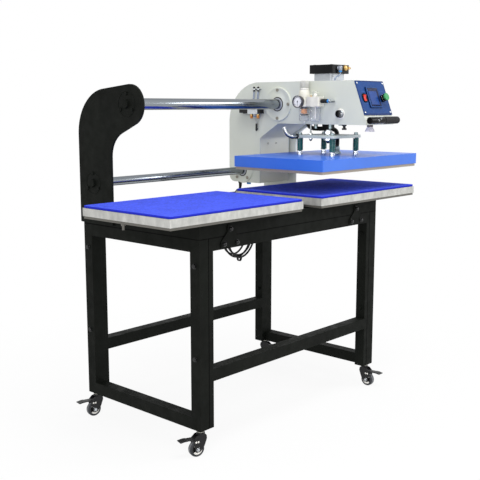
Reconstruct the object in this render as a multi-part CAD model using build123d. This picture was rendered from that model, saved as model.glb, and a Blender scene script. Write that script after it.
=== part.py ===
from build123d import *
import math
import os

os.makedirs("parts", exist_ok=True)

# All sizes are millimetres. While modelling, x runs from the stand's left face, y from its front face
# to the back and z from the floor. Saving moves the origin under the middle of the whole press.

# Stand of square tube
STAND_DEPTH = 560
LEG_HEIGHT = 605
TUBE = 40
POST = 20
TUBE_WALL = 2
LOW_RAIL_RISE = 151
BASE_HEIGHT = 50
FOOT_PLATE = 4
MID_RAIL_FRONT = 300

# Fasteners: M8 frame bolts and M6 screws
BOLT_D = 8
BOLT_FLATS = 13
BOLT_HEAD = 5.3
SCREW_D = 6
SCREW_HEAD_D = 10
SCREW_HEAD = 4
HOLE_CLEARANCE = 0.6
BOLT_RISES = (231, 523)

# Joint plates over the seam between the frames and the base
JOINT_PLATE = 4
JOINT_PLATE_X = 135
JOINT_WIDE = 85
JOINT_NARROW = 27
JOINT_DROP = 36
JOINT_RISE = 35
JOINT_SHOULDER = 20

# Casters
CASTER_HEIGHT = 86
WHEEL_D = 50
WHEEL_WIDTH = 19
TRAIL = 16
CHEEK = 2.6
CHEEK_GAP = 0.8
AXLE_D = 6
HUB_D = 36
STEM_D = 10
STEM_FLANGE_D = 16
STEM_FLANGE = 3
STEM_RISE = 22
STEM_WASHER_D = 24
STEM_WASHER = 2
STEM_NUT_FLATS = 17
HOUSING_TOP = 77.7
BRIDGE_BOTTOM = 64
BRIDGE_TOP = 72
LEVER_REACH = 76
RUNNING = 0.05
CASTER_TURNS = {"fl": 162, "bl": 170, "fr": 270, "br": 290}

# Lower platens
PLATEN_LENGTH = 600
PLATEN_DEPTH = 400
PLATEN_THICK = 25
PLATEN_GAP = 100
PLATEN_OVERHANG = 62
BACKING = 8
SPACER = 3
SPACER_D = 26
PAD_THICK = 8
PAD_INSET = 2
STUD_DROP = 20

# Guide plates and shafts
GUIDE_PLATE = 8
GUIDE_BACK_OUT = 5
GUIDE_WIDTH = 169
GUIDE_NOSE_Y = 234
GUIDE_FOOT = 6
HOOK_TOP = 69
HOOK_BACK_DROP = 33
HOOK_BACK_ROUND = 150
HOOK_NOSE_ROUND = 64
HOOK_NOSE_DROP = 115
HOOK_THROAT_DROP = 184
HOOK_THROAT_ROUND = 85
UPPER_Y = 312
UPPER_RISE = 353
UPPER_D = 38
LOWER_Y = 492
LOWER_RISE = 92
LOWER_D = 30
SHAFT_FLANGE_D = 86
SHAFT_FLANGE = 14
END_BOLT_D = 16
END_HOLE_DEPTH = 30
END_SCREW_R = 33
END_SCREW_ANGLES = (90, 212, 329)

# Head
HEAD_WIDTH = 180
HEAD_OFFSET = 5
HEAD_END_GAP = 32
HEAD_HEIGHT = 392
HEAD_CLEARANCE = 45
HEAD_BACK = 568
SPINE_FRONT = 405
ARM_DEPTH = 157
CHAMFER_RUN = 92
CHAMFER_DROP = 58
NOSE_TOP_Y = -32
NOSE_BOTTOM_Y = -92
HEAD_ROUND = 155
SIDE_PLATE = 5
SHEET = 3

# Flanged bearings of the head
BEARING_WALL = 10
BEARING_LENGTH = 60
BEARING_FLANGE = 6.5
UPPER_FLANGE_D = 128
LOWER_FLANGE_D = 100
SEAL_WALL = 8
SEAL_DEPTH = 3
SEAL_PROUD = 1.5

# Control panel
PANEL_LENGTH = 130
PANEL_THICK = 3
SCREEN_X = 86
SCREEN_DOWN = 66
SCREEN_W = 76
SCREEN_H = 78
SCREEN_PROUD = 5
ROCKER_X = 30
ROCKER_DOWN = 67.5
BUTTON_X = 139
BUTTON_DOWN = 70.5
BUTTON_D = 20
BUTTON_RING_D = 26
BUTTON_PROUD = 16
BUTTON_TRAVEL = 3
BUTTON_CAP_D = 28
BUTTON_CAP = 5
FIT = 0.3

# Handle and lamp
HANDLE_Y = -112
HANDLE_RISE = 16.5
HANDLE_LENGTH = 184
HANDLE_OUT = 16
MOUNT_D = 24
GRIP_D = 26
LAMP_Y = -70
LAMP_IN = 52

# Air cylinder
CYLINDER_BORE = 63
BARREL_SIDE = 84
CAP_SIDE = 105
CAP_CORNER = 2
CAP_THICK = 32
CAP_RISE = 27.5
LOWER_CAP = 16
LOWER_CAP_SIDE = 80
BUSH_D = 46
BUSH_DROP = 20
MOUNT_HEAD = 7
MOUNT_LOCKNUT = 11
MOUNT_BOLT_OUT = 33
ROD_D = 20

# Press, hanging on the cylinder rod
PRESS_STROKE = 72
PRESS_CLEAR = 0.4
HEAT_PLATE = 10
ELEMENT = 15
COVER_LIP_X = 2
COVER_LIP_Y = 4
COVER_HEIGHT = 39
COVER_SHEET = 2
STUD_OUT = 75
STUD_D = 8
STUD_PROUD = 9
BASE_NUT = 12.6
SPRING_LENGTH = 51
SPRING_MEAN_D = 19.6
SPRING_WIRE = 3.8
SPRING_TURNS = 11
CROSS_SIDE = 180
CROSS_THICK = 11
GUIDE_ROD_D = 6
GUIDE_ROD_X = -45
GUIDE_ROD_Y = 48
HOSE_D = 17
HOSE_BORE = 12
HOSE_ARM_CLEAR = 10
HOSE_PLATE_CLEAR = 5
HOSE_X = 60
HOSE_RIB = 4.4
GLAND_HEIGHT = 30

# Air unit on the head's left side
AIR_OUT = 30.5
AIR_BODY = 40
REG_Y = 164
REG_WIDTH = 44
REG_RISE = -18
REG_HEIGHT = 60
KNOB_D = 34
KNOB_HEIGHT = 33
LUB_Y = 113
LUB_WIDTH = 56
LUB_HEIGHT = 35
BOWL_D = 38
BOWL_HEIGHT = 53
BOWL_WALL = 2.5
GAUGE_D = 44
GAUGE_DEPTH = 18
GAUGE_Z = 9
FLOW_KNOB_D = 28
FLOW_GRIP = 9
FLOW_DISC = 6
OUTLET_LENGTH = 41
OUTLET_BODY = 28
OUTLET_D = 15
FLOW_KNOB_Y = 22
FLOW_KNOB_RISE = 39

# Valve and mains cord
VALVE_Y = 421
VALVE_RISE = 47
VALVE_OUT = 28
VALVE_LENGTH = 51
VALVE_HEIGHT = 24
COIL_LONG = 56
COIL_SHORT = 12
SILENCER_D = 11
SILENCER_DROP = 17
TUBE_FITTING_D = 9
TUBE_FITTING_RISE = 74
TUBE_FITTING = 19
VALVE_TUBE_D = 6
HANGING_TUBE_D = 5
CORD_D = 8
CORD_GLAND_X = 12.5
CORD_GLAND_Y = 520
CORD_GLAND = 10
HANK_X = 836
HANK_Z = 579
HANK_Y = 588
HANK_HALF_WIDTH = 92
HANK_HALF_HEIGHT = 130
HANK_PITCH = 9.6
HANK_TURNS = 3.5
PLUG_OUT = 24
PLUG_RELIEF = 24
PLUG_BODY = 34
PLUG_PIN = 19

# Levels and places that follow from the sizes above
LEG_FOOT = CASTER_HEIGHT
LEG_TOP = LEG_FOOT + LEG_HEIGHT
BASE_TOP = LEG_TOP + BASE_HEIGHT
LOW_RAIL = LEG_FOOT + LOW_RAIL_RISE
BACKING_BOTTOM = BASE_TOP + SPACER
PLATEN_BOTTOM = BACKING_BOTTOM + BACKING
PLATEN_TOP = PLATEN_BOTTOM + PLATEN_THICK
PAD_TOP = PLATEN_TOP + PAD_THICK
PLATEN_Y = PLATEN_DEPTH / 2 - PLATEN_OVERHANG
STAND_LENGTH = PLATEN_LENGTH + PLATEN_GAP + HEAD_WIDTH + 2 * (HEAD_OFFSET + HEAD_END_GAP)
LEFT_X = STAND_LENGTH / 2 - (PLATEN_LENGTH + PLATEN_GAP) / 2
RIGHT_X = STAND_LENGTH / 2 + (PLATEN_LENGTH + PLATEN_GAP) / 2
UPPER_Z = BASE_TOP + UPPER_RISE
LOWER_Z = BASE_TOP + LOWER_RISE
HEAD_BOTTOM = BASE_TOP + HEAD_CLEARANCE
HEAD_TOP = HEAD_BOTTOM + HEAD_HEIGHT
ARM_BOTTOM = HEAD_TOP - ARM_DEPTH
HEAD_LEFT = RIGHT_X + HEAD_OFFSET - HEAD_WIDTH / 2
HEAD_RIGHT = HEAD_LEFT + HEAD_WIDTH
AIR_X = HEAD_LEFT - AIR_OUT
CAP_BOTTOM = HEAD_TOP + CAP_RISE
BARREL_BOTTOM = ARM_BOTTOM + SHEET + LOWER_CAP
HEAT_BOTTOM = PAD_TOP + PRESS_STROKE + PRESS_CLEAR
COVER_BOTTOM = HEAT_BOTTOM + HEAT_PLATE
COVER_TOP = COVER_BOTTOM + COVER_HEIGHT
SPRING_BOTTOM = COVER_TOP + BASE_NUT
CROSS_BOTTOM = SPRING_BOTTOM + SPRING_LENGTH
CROSS_TOP = CROSS_BOTTOM + CROSS_THICK
ORIGIN_X = STAND_LENGTH / 2
ORIGIN_Y = (HEAD_BACK + HANDLE_Y - GRIP_D / 2) / 2


def block(x0, x1, y0, y1, z0, z1):
    return Pos((x0 + x1) / 2, (y0 + y1) / 2, (z0 + z1) / 2) * Box(x1 - x0, y1 - y0, z1 - z0)


def rounded_block(x0, x1, y0, y1, z0, z1, radius):
    plan = Pos((x0 + x1) / 2, (y0 + y1) / 2, z0) * RectangleRounded(x1 - x0, y1 - y0, radius)
    return extrude(plan, z1 - z0, dir=(0, 0, 1))


def rod_x(x0, x1, y, z, d):
    return Pos((x0 + x1) / 2, y, z) * Rot(0, 90, 0) * Cylinder(d / 2, x1 - x0)


def rod_y(x, y0, y1, z, d):
    return Pos(x, (y0 + y1) / 2, z) * Rot(90, 0, 0) * Cylinder(d / 2, y1 - y0)


def rod_z(x, y, z0, z1, d):
    return Pos(x, y, (z0 + z1) / 2) * Cylinder(d / 2, z1 - z0)


def cone_z(x, y, z0, z1, d0, d1):
    return Pos(x, y, (z0 + z1) / 2) * Cone(d0 / 2, d1 / 2, z1 - z0)


def hexagon(flats, height):
    return extrude(RegularPolygon(flats / 2, 6, major_radius=False), height)


def hex_z(x, y, z0, z1, flats):
    return Pos(x, y, z0) * hexagon(flats, z1 - z0)


def hex_x(x0, x1, y, z, flats):
    return Pos(x0, y, z) * Rot(0, 90, 0) * hexagon(flats, x1 - x0)


def outline(corners):
    points = [(u, v) for u, v, radius in corners]
    radii = [radius for u, v, radius in corners]
    return make_face(FilletPolyline(*points, radius=radii, close=True).edges())


def prism_x(face, x0, x1):
    return extrude(Plane.YZ.offset(x0) * face, x1 - x0, dir=(1, 0, 0))


def prism_y(face, y0, y1):
    return extrude(Plane.XZ.offset(-y0) * face, y1 - y0, dir=(0, 1, 0))


def mirrored_x(shape):
    return shape.mirror(Plane.YZ.offset(STAND_LENGTH / 2))


def mirrored_y(shape):
    return shape.mirror(Plane.XZ.offset(-STAND_DEPTH / 2))


def save(name, *shapes):
    solids = [Pos(-ORIGIN_X, -ORIGIN_Y, 0) * solid for shape in shapes for solid in shape.solids()]
    export_step(Compound(children=solids), f"parts/{name}.step")


def biarc(start, start_way, end, end_way):
    chord = end - start
    ways = start_way + end_way
    bend = 2 * (1 - start_way.dot(end_way))
    reach = (-chord.dot(ways) + math.sqrt(chord.dot(ways) ** 2 + bend * chord.dot(chord))) / bend
    first = start + start_way * reach
    last = end - end_way * reach
    middle = (first + last) * 0.5
    way = (last - first).normalized()
    return [TangentArc(start, middle, tangent=start_way), TangentArc(middle, end, tangent=way)]


def swept(edges, d):
    path = Wire(edges)
    section = Plane(origin=path @ 0, z_dir=path % 0) * Circle(d / 2)
    return sweep(section, path=path)


def bent_line(points):
    radii = []
    for before, here, after in zip(points, points[1:], points[2:]):
        run = min((here - before).length, (after - here).length)
        half_turn = math.radians((here - before).get_angle(after - here)) / 2
        radii.append(0.45 * run / math.tan(half_turn))
    print("bend radii", [round(radius, 1) for radius in radii])
    return FilletPolyline(*points, radius=radii)


def free_tube(points, d):
    path = bent_line([Vector(*point) for point in points])
    tube = swept(path.edges(), d)
    print("  tube", d, "length", round(path.length, 1))
    print("  volume against section times length", round(tube.volume / (math.pi * d * d / 4 * path.length), 4))
    return tube


def least_gap(point_at, turns, d):
    steps = 60
    points = [point_at(2 * math.pi * i / steps) for i in range(int(turns * steps) + 1)]
    gaps = [(p - q).length for i, p in enumerate(points) for q in points[i + steps // 2:]]
    return min(gaps) - d


# Stand frames

def leg(x0, y0):
    outer = block(x0, x0 + TUBE, y0, y0 + TUBE, LEG_FOOT, LEG_TOP)
    inner = block(
        x0 + TUBE_WALL, x0 + TUBE - TUBE_WALL,
        y0 + TUBE_WALL, y0 + TUBE - TUBE_WALL,
        LEG_FOOT + FOOT_PLATE, LEG_TOP - TUBE_WALL,
    )
    stem_hole = rod_z(x0 + TUBE / 2, y0 + TUBE / 2, LEG_FOOT, LEG_FOOT + FOOT_PLATE, STEM_D + 2 * RUNNING)
    return outer, inner + stem_hole


def rail_y(x0, z0):
    outer = block(x0, x0 + TUBE, TUBE, STAND_DEPTH - TUBE, z0, z0 + TUBE)
    inner = block(
        x0 + TUBE_WALL, x0 + TUBE - TUBE_WALL,
        TUBE, STAND_DEPTH - TUBE,
        z0 + TUBE_WALL, z0 + TUBE - TUBE_WALL,
    )
    return outer, inner


def frame_bolt_places():
    return [(y, LEG_FOOT + rise) for y in (TUBE / 2, STAND_DEPTH - TUBE / 2) for rise in BOLT_RISES]


def end_frame():
    pieces = [leg(0, 0), leg(0, STAND_DEPTH - TUBE), rail_y(0, LEG_FOOT), rail_y(0, LEG_TOP - TUBE)]
    frame = Part() + [outer for outer, inner in pieces]
    frame -= [inner for outer, inner in pieces]
    return frame - [rod_x(0, TUBE, y, z, BOLT_D + HOLE_CLEARANCE) for y, z in frame_bolt_places()]


def joint_screw_places():
    low = LEG_TOP - JOINT_DROP / 2 - 6
    high = LEG_TOP + JOINT_RISE - 14
    wide = JOINT_WIDE / 2 - 13
    for x in (JOINT_PLATE_X, STAND_LENGTH - JOINT_PLATE_X):
        yield x, high
        yield x - wide, low
        yield x + wide, low


def joint_screw_holes():
    return [rod_y(x, -JOINT_PLATE, TUBE_WALL, z, SCREW_D + HOLE_CLEARANCE) for x, z in joint_screw_places()]


def front_frame():
    left = TUBE
    right = STAND_LENGTH - TUBE
    frame = Part()
    hollow = Part()
    for x0, x1 in ((left, left + POST), (right - POST, right)):
        frame += block(x0, x1, 0, TUBE, LEG_FOOT, LEG_TOP)
        hollow += block(
            x0 + TUBE_WALL, x1 - TUBE_WALL, TUBE_WALL, TUBE - TUBE_WALL, LEG_FOOT, LEG_TOP - TUBE_WALL
        )
    for z0 in (LOW_RAIL, LEG_TOP - TUBE):
        frame += block(left + POST, right - POST, 0, TUBE, z0, z0 + TUBE)
        hollow += block(
            left + POST, right - POST, TUBE_WALL, TUBE - TUBE_WALL, z0 + TUBE_WALL, z0 + TUBE - TUBE_WALL
        )
    for y, z in frame_bolt_places():
        hollow += rod_x(left, right, y, z, BOLT_D + HOLE_CLEARANCE)
    return frame - hollow - joint_screw_holes()


def base_frame():
    back = STAND_DEPTH - TUBE
    mid_back = MID_RAIL_FRONT + TUBE
    frame = block(0, STAND_LENGTH, 0, STAND_DEPTH, LEG_TOP, BASE_TOP)
    frame -= block(TUBE, STAND_LENGTH - TUBE, TUBE, MID_RAIL_FRONT, LEG_TOP, BASE_TOP)
    frame -= block(TUBE, STAND_LENGTH - TUBE, mid_back, back, LEG_TOP, BASE_TOP)
    low = LEG_TOP + TUBE_WALL
    high = BASE_TOP - TUBE_WALL
    for y0, y1 in ((0, TUBE), (MID_RAIL_FRONT, mid_back), (back, STAND_DEPTH)):
        frame -= block(TUBE, STAND_LENGTH - TUBE, y0 + TUBE_WALL, y1 - TUBE_WALL, low, high)
    side = block(TUBE_WALL, TUBE - TUBE_WALL, TUBE_WALL, STAND_DEPTH - TUBE_WALL, low, high)
    frame -= side + mirrored_x(side)
    holes = joint_screw_holes()
    plate_holes = [rod_x(0, TUBE, y, z, BOLT_D + HOLE_CLEARANCE) for y, z in plate_bolt_places()]
    frame -= holes + [mirrored_y(hole) for hole in holes]
    return frame - plate_holes - [mirrored_x(hole) for hole in plate_holes]


def joint_plate():
    foot = LEG_TOP - JOINT_DROP
    shoulder = foot + JOINT_SHOULDER
    neck = shoulder + (JOINT_WIDE - JOINT_NARROW) / 2
    wide = JOINT_WIDE / 2
    narrow = JOINT_NARROW / 2
    shape = outline([
        (-wide, foot, 4), (wide, foot, 4), (wide, shoulder, 8), (narrow, neck, 10),
        (narrow, LEG_TOP + JOINT_RISE, 8), (-narrow, LEG_TOP + JOINT_RISE, 8),
        (-narrow, neck, 10), (-wide, shoulder, 8),
    ])
    plate = Pos(JOINT_PLATE_X, 0, 0) * prism_y(shape, -JOINT_PLATE, 0)
    return plate - joint_screw_holes()


def joint_screw(x, z):
    screw = rod_y(x, -JOINT_PLATE - SCREW_HEAD, -JOINT_PLATE, z, SCREW_HEAD_D)
    return screw + rod_y(x, -JOINT_PLATE, TUBE_WALL + 4, z, SCREW_D)


def frame_bolt(y, z):
    bolt = hex_x(-BOLT_HEAD, 0, y, z, BOLT_FLATS) + rod_x(0, TUBE + POST + 8, y, z, BOLT_D)
    nut = hex_x(TUBE + POST, TUBE + POST + 6.5, y, z, BOLT_FLATS) - rod_x(
        TUBE, TUBE + POST + 9, y, z, BOLT_D
    )
    return bolt, nut


def end_screw_places(y, z):
    for angle in END_SCREW_ANGLES:
        turn = math.radians(angle)
        yield y + END_SCREW_R * math.cos(turn), z + END_SCREW_R * math.sin(turn)


def shaft_places():
    return ((UPPER_Y, UPPER_Z, UPPER_D), (LOWER_Y, LOWER_Z, LOWER_D))


def plate_bolt_places():
    back = STAND_DEPTH + GUIDE_BACK_OUT
    middle = BASE_TOP - BASE_HEIGHT / 2
    return [(back - GUIDE_WIDTH * share, middle) for share in (0.15, 0.5, 0.85)]


def end_fasteners():
    head = -GUIDE_PLATE - BOLT_HEAD
    for y, z, d in shaft_places():
        yield hex_x(-GUIDE_PLATE - 9, -GUIDE_PLATE, y, z, 24) + rod_x(-GUIDE_PLATE, 26, y, z, END_BOLT_D)
        for screw_y, screw_z in end_screw_places(y, z):
            screw = hex_x(-GUIDE_PLATE - SCREW_HEAD, -GUIDE_PLATE, screw_y, screw_z, SCREW_HEAD_D)
            yield screw + rod_x(-GUIDE_PLATE, SHAFT_FLANGE - 2, screw_y, screw_z, SCREW_D)
    for y, z in plate_bolt_places():
        yield hex_x(head, -GUIDE_PLATE, y, z, BOLT_FLATS) + rod_x(-GUIDE_PLATE, TUBE + 6.5, y, z, BOLT_D)


def joint_plates_and_bolts():
    front = [joint_plate(), mirrored_x(joint_plate())]
    front += [joint_screw(x, z) for x, z in joint_screw_places()]
    pieces = front + [mirrored_y(piece) for piece in front]
    left = [piece for y, z in frame_bolt_places() for piece in frame_bolt(y, z)]
    left += list(end_fasteners())
    return pieces + left + [mirrored_x(piece) for piece in left]


def guide_plate():
    back = STAND_DEPTH + GUIDE_BACK_OUT
    front = back - GUIDE_WIDTH
    foot = LEG_TOP + GUIDE_FOOT
    top = UPPER_Z + HOOK_TOP
    shape = outline([
        (back, foot, 3), (back, top - HOOK_BACK_DROP, HOOK_BACK_ROUND), (GUIDE_NOSE_Y, top, HOOK_NOSE_ROUND),
        (GUIDE_NOSE_Y, top - HOOK_NOSE_DROP, HOOK_NOSE_ROUND), (front, top - HOOK_THROAT_DROP, HOOK_THROAT_ROUND),
        (front, foot, 3),
    ])
    plate = prism_x(shape, -GUIDE_PLATE, 0)
    for y, z, d in shaft_places():
        plate -= rod_x(-GUIDE_PLATE, 0, y, z, END_BOLT_D + HOLE_CLEARANCE)
        for screw_y, screw_z in end_screw_places(y, z):
            plate -= rod_x(-GUIDE_PLATE, 0, screw_y, screw_z, SCREW_D + HOLE_CLEARANCE)
    return plate - [rod_x(-GUIDE_PLATE, 0, y, z, BOLT_D + HOLE_CLEARANCE) for y, z in plate_bolt_places()]


def guide_shafts():
    pieces = []
    for y, z, d in shaft_places():
        end_hole = rod_x(0, END_HOLE_DEPTH, y, z, END_BOLT_D + HOLE_CLEARANCE)
        pieces.append(rod_x(0, STAND_LENGTH, y, z, d) - end_hole - mirrored_x(end_hole))
        flange = rod_x(0, SHAFT_FLANGE, y, z, SHAFT_FLANGE_D) - rod_x(0, SHAFT_FLANGE, y, z, d)
        for screw_y, screw_z in end_screw_places(y, z):
            flange -= rod_x(0, SHAFT_FLANGE, screw_y, screw_z, SCREW_D + HOLE_CLEARANCE)
        pieces += [flange, mirrored_x(flange)]
    return pieces


# Lower platens

def platen_slab(centre_x, z0, z1, inset, radius):
    half_x = PLATEN_LENGTH / 2 - inset
    half_y = PLATEN_DEPTH / 2 - inset
    return rounded_block(
        centre_x - half_x, centre_x + half_x, PLATEN_Y - half_y, PLATEN_Y + half_y, z0, z1, radius
    )


def spacer_places(centre_x):
    side = TUBE / 2 if centre_x < STAND_LENGTH / 2 else STAND_LENGTH - TUBE / 2
    inner = STAND_LENGTH / 2 - math.copysign(PLATEN_GAP / 2 + 60, STAND_LENGTH / 2 - centre_x)
    return [(x, y) for x in (side, inner) for y in (TUBE / 2, MID_RAIL_FRONT + TUBE / 2)]


def platen_backings():
    pieces = []
    for centre_x in (LEFT_X, RIGHT_X):
        pieces.append(platen_slab(centre_x, BACKING_BOTTOM, PLATEN_BOTTOM, 3, 3))
        pieces += [rod_z(x, y, BASE_TOP, BACKING_BOTTOM, SPACER_D) for x, y in spacer_places(centre_x)]
        for side in (-1, 1):
            x = centre_x + side * (PLATEN_LENGTH / 2 - 14)
            stud = rod_z(x, PLATEN_Y + 20, BACKING_BOTTOM - STUD_DROP, BACKING_BOTTOM, BOLT_D)
            pieces.append(stud + hex_z(x, PLATEN_Y + 20, BACKING_BOTTOM - 6.5, BACKING_BOTTOM, BOLT_FLATS))
    return pieces


# Casters, drawn with the stem on the z axis and the wheel trailing along +x

def caster_stem():
    flange_top = BRIDGE_BOTTOM - FIT
    flange_bottom = flange_top - STEM_FLANGE
    stem = rod_z(0, 0, flange_bottom, LEG_FOOT + STEM_RISE, STEM_D)
    stem += rod_z(0, 0, flange_bottom, flange_top, STEM_FLANGE_D)
    washer_bottom = HOUSING_TOP + FIT
    washer = rod_z(0, 0, washer_bottom, washer_bottom + STEM_WASHER, STEM_WASHER_D)
    nut = hex_z(0, 0, washer_bottom + STEM_WASHER, LEG_FOOT, STEM_NUT_FLATS)
    bore = rod_z(0, 0, HOUSING_TOP, LEG_FOOT, STEM_D)
    return [stem, (washer + nut) - bore]


def caster_housing():
    wheel_r = WHEEL_D / 2
    half_in = WHEEL_WIDTH / 2 + CHEEK_GAP
    half_out = half_in + CHEEK
    side = outline([
        (-14, BRIDGE_TOP, 5), (-16, 58, 12), (-7, 34, 20), (TRAIL - 8, wheel_r - 9, 7),
        (TRAIL + 8, wheel_r - 9, 7), (TRAIL + 13, 42, 10), (TRAIL + 12, 60, 8), (15, BRIDGE_TOP, 6),
    ])
    housing = prism_y(side, -half_out, half_out)
    housing -= block(-20, TRAIL + 20, -half_in, half_in, 0, BRIDGE_BOTTOM)
    housing -= block(10.5, TRAIL + 20, -half_in, half_in, 0, BRIDGE_TOP + 1)
    dome = fillet(rod_z(0, 0, BRIDGE_TOP, HOUSING_TOP, 28).edges().group_by(Axis.Z)[-1], 3)
    housing += dome
    housing -= rod_z(0, 0, 0, HOUSING_TOP, STEM_D + 2 * RUNNING)
    housing -= rod_y(TRAIL, -half_out, half_out, wheel_r, AXLE_D + 2 * RUNNING)
    housing -= rod_y(13, -half_out, half_out, 59, 4 + 2 * RUNNING)
    return housing


def caster_axle():
    wheel_r = WHEEL_D / 2
    half_out = WHEEL_WIDTH / 2 + CHEEK_GAP + CHEEK
    axle = rod_y(TRAIL, -half_out - 3, half_out + 3, wheel_r, AXLE_D)
    axle += rod_y(TRAIL, -half_out - 3, -half_out, wheel_r, 10)
    axle += rod_y(TRAIL, half_out, half_out + 3, wheel_r, 10)
    pin = rod_y(13, -half_out - 1, half_out + 1, 59, 4)
    rivets = [rod_y(x, side * half_out, side * half_out + 1, 50, 4) for x in (14, 22) for side in (1,)]
    rivets += [rod_y(x, -half_out - 1, -half_out, 50, 4) for x in (14, 22)]
    return [axle, pin] + rivets


def caster_wheel():
    wheel_r = WHEEL_D / 2
    half = WHEEL_WIDTH / 2
    tyre = rod_y(TRAIL, -half, half, wheel_r, WHEEL_D) - rod_y(TRAIL, -half, half, wheel_r, HUB_D)
    tyre = fillet(tyre.edges().filter_by(GeomType.CIRCLE).group_by(SortBy.RADIUS)[-1], 2.5)
    hub = rod_y(TRAIL, -half, half, wheel_r, HUB_D)
    for side in (-1, 1):
        hub -= rod_y(TRAIL, min(side * half, side * (half - 2)), max(side * half, side * (half - 2)), wheel_r, 30)
    hub += rod_y(TRAIL, -half, half, wheel_r, 12)
    return [tyre, hub - rod_y(TRAIL, -half, half, wheel_r, AXLE_D + 2 * RUNNING)]


def caster_brake():
    wheel_r = WHEEL_D / 2
    half_in = WHEEL_WIDTH / 2 + CHEEK_GAP
    shoe_near = wheel_r + math.sqrt((wheel_r + 0.5) ** 2 - 3 ** 2)
    shoe_far = wheel_r + math.sqrt((wheel_r + 0.5) ** 2 - 9 ** 2)
    side = outline([
        (TRAIL + 3, shoe_near, 0), (TRAIL + 9, shoe_far, 0), (TRAIL + 14, 55, 4), (46, 58, 20),
        (60, 59, 20), (LEVER_REACH, 57, 1), (LEVER_REACH + 1, 60, 1), (60, 62.5, 20),
        (46, 62, 20), (TRAIL + 12, 61.5, 6), (12, 63, 3), (8.6, 59, 2), (12, 55, 2),
    ])
    lever = prism_y(side, -half_in + 0.5, half_in - 0.5)
    tip = outline([
        (50, 58.6, 0), (60, 59, 20), (LEVER_REACH, 57, 1), (LEVER_REACH + 1, 60, 1), (60, 62.5, 20), (50, 62.2, 0),
    ])
    lever += prism_y(tip, -half_in - 2, half_in + 2)
    return lever - rod_y(13, -half_in, half_in, 59, 4 + 2 * RUNNING)


def caster_places():
    near = TUBE / 2
    far = STAND_DEPTH - TUBE / 2
    right = STAND_LENGTH - TUBE / 2
    return {"fl": (near, near), "bl": (near, far), "fr": (right, near), "br": (right, far)}


# Head: sheet-metal box that slides on the two shafts

def head_outline():
    spine_top = ARM_BOTTOM - CHAMFER_DROP
    return [
        (NOSE_BOTTOM_Y, ARM_BOTTOM, 6), (NOSE_TOP_Y, HEAD_TOP, 4), (HEAD_BACK, HEAD_TOP, HEAD_ROUND),
        (HEAD_BACK, HEAD_BOTTOM, 28), (SPINE_FRONT, HEAD_BOTTOM, 2), (SPINE_FRONT, spine_top, 12),
        (SPINE_FRONT - CHAMFER_RUN, ARM_BOTTOM, 12),
    ]


def bearing_places():
    return (
        (UPPER_Y, UPPER_Z, UPPER_D, UPPER_FLANGE_D, 0, 53),
        (LOWER_Y, LOWER_Z, LOWER_D, LOWER_FLANGE_D, 45, 39),
    )


def bearing_screw_places(y, z, first, radius):
    for quarter in range(4):
        turn = math.radians(first + 90 * quarter)
        yield y + radius * math.cos(turn), z + radius * math.sin(turn)


def head_side():
    side = prism_x(outline(head_outline()), HEAD_LEFT, HEAD_LEFT + SIDE_PLATE)
    for y, z, d, flange_d, first, radius in bearing_places():
        side -= rod_x(HEAD_LEFT, HEAD_LEFT + SIDE_PLATE, y, z, d + 2 * BEARING_WALL + HOLE_CLEARANCE)
        for screw_y, screw_z in bearing_screw_places(y, z, first, radius):
            side -= rod_x(HEAD_LEFT, HEAD_LEFT + SIDE_PLATE, screw_y, screw_z, SCREW_D + HOLE_CLEARANCE)
    return side


def head_mirrored(shape):
    return shape.mirror(Plane.YZ.offset((HEAD_LEFT + HEAD_RIGHT) / 2))


def head_band():
    outer = outline(head_outline())
    inner = offset(outer, -SHEET)
    return prism_x(outer - inner, HEAD_LEFT + SIDE_PLATE, HEAD_RIGHT - SIDE_PLATE)


def tray_zone():
    return block(
        HEAD_LEFT, HEAD_RIGHT, NOSE_BOTTOM_Y - 50, SPINE_FRONT - CHAMFER_RUN, ARM_BOTTOM - 1, HEAD_TOP - SHEET
    )


def throat_zone():
    return block(
        HEAD_LEFT, HEAD_RIGHT, SPINE_FRONT - CHAMFER_RUN, SPINE_FRONT + SHEET + 1,
        HEAD_BOTTOM + SHEET, ARM_BOTTOM + SHEET + 20,
    )


def head_top_cover():
    cover = head_band() - tray_zone() - throat_zone()
    half = BARREL_SIDE / 2 + FIT
    cover -= block(
        RIGHT_X - half, RIGHT_X + half, PLATEN_Y - half, PLATEN_Y + half, HEAD_TOP - SHEET, HEAD_TOP
    )
    cover -= rod_z(CLEAR_TUBE_X, CAP_FRONT - 10, HEAD_TOP - SHEET, HEAD_TOP, 8 + HOLE_CLEARANCE)
    cover -= rod_z(HEAD_LEFT + CORD_GLAND_X, CORD_GLAND_Y, HEAD_BOTTOM, HEAD_BOTTOM + SHEET, 14)
    return cover - rod_z(INLET_X, INLET_Y, HEAD_BOTTOM, HEAD_BOTTOM + SHEET, 12)


def throat_cover():
    sheet = head_band() & throat_zone()
    screws = []
    for x in (HEAD_LEFT + 50, HEAD_LEFT + 99):
        z = ARM_BOTTOM - CHAMFER_DROP - 22
        sheet -= rod_y(x, SPINE_FRONT, SPINE_FRONT + SHEET, z, 4 + HOLE_CLEARANCE)
        screws.append(rod_y(x, SPINE_FRONT - 2, SPINE_FRONT, z, 7) + rod_y(x, SPINE_FRONT, SPINE_FRONT + 10, z, 4))
    return [sheet] + screws


def press_post_places(out):
    return [(RIGHT_X + i * out, PLATEN_Y + j * out) for i in (-1, 1) for j in (-1, 1)]


# Slanted front of the head: x to the right from its left edge, y up the slope, z out of the face
NOSE_SLOPE = Vector(0, NOSE_TOP_Y - NOSE_BOTTOM_Y, ARM_DEPTH).normalized()
NOSE_OUT = Vector(1, 0, 0).cross(NOSE_SLOPE)
PANEL = Plane(origin=(HEAD_LEFT, NOSE_TOP_Y, HEAD_TOP), x_dir=(1, 0, 0), z_dir=NOSE_OUT)
PANEL_TOP_GAP = 2


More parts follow.
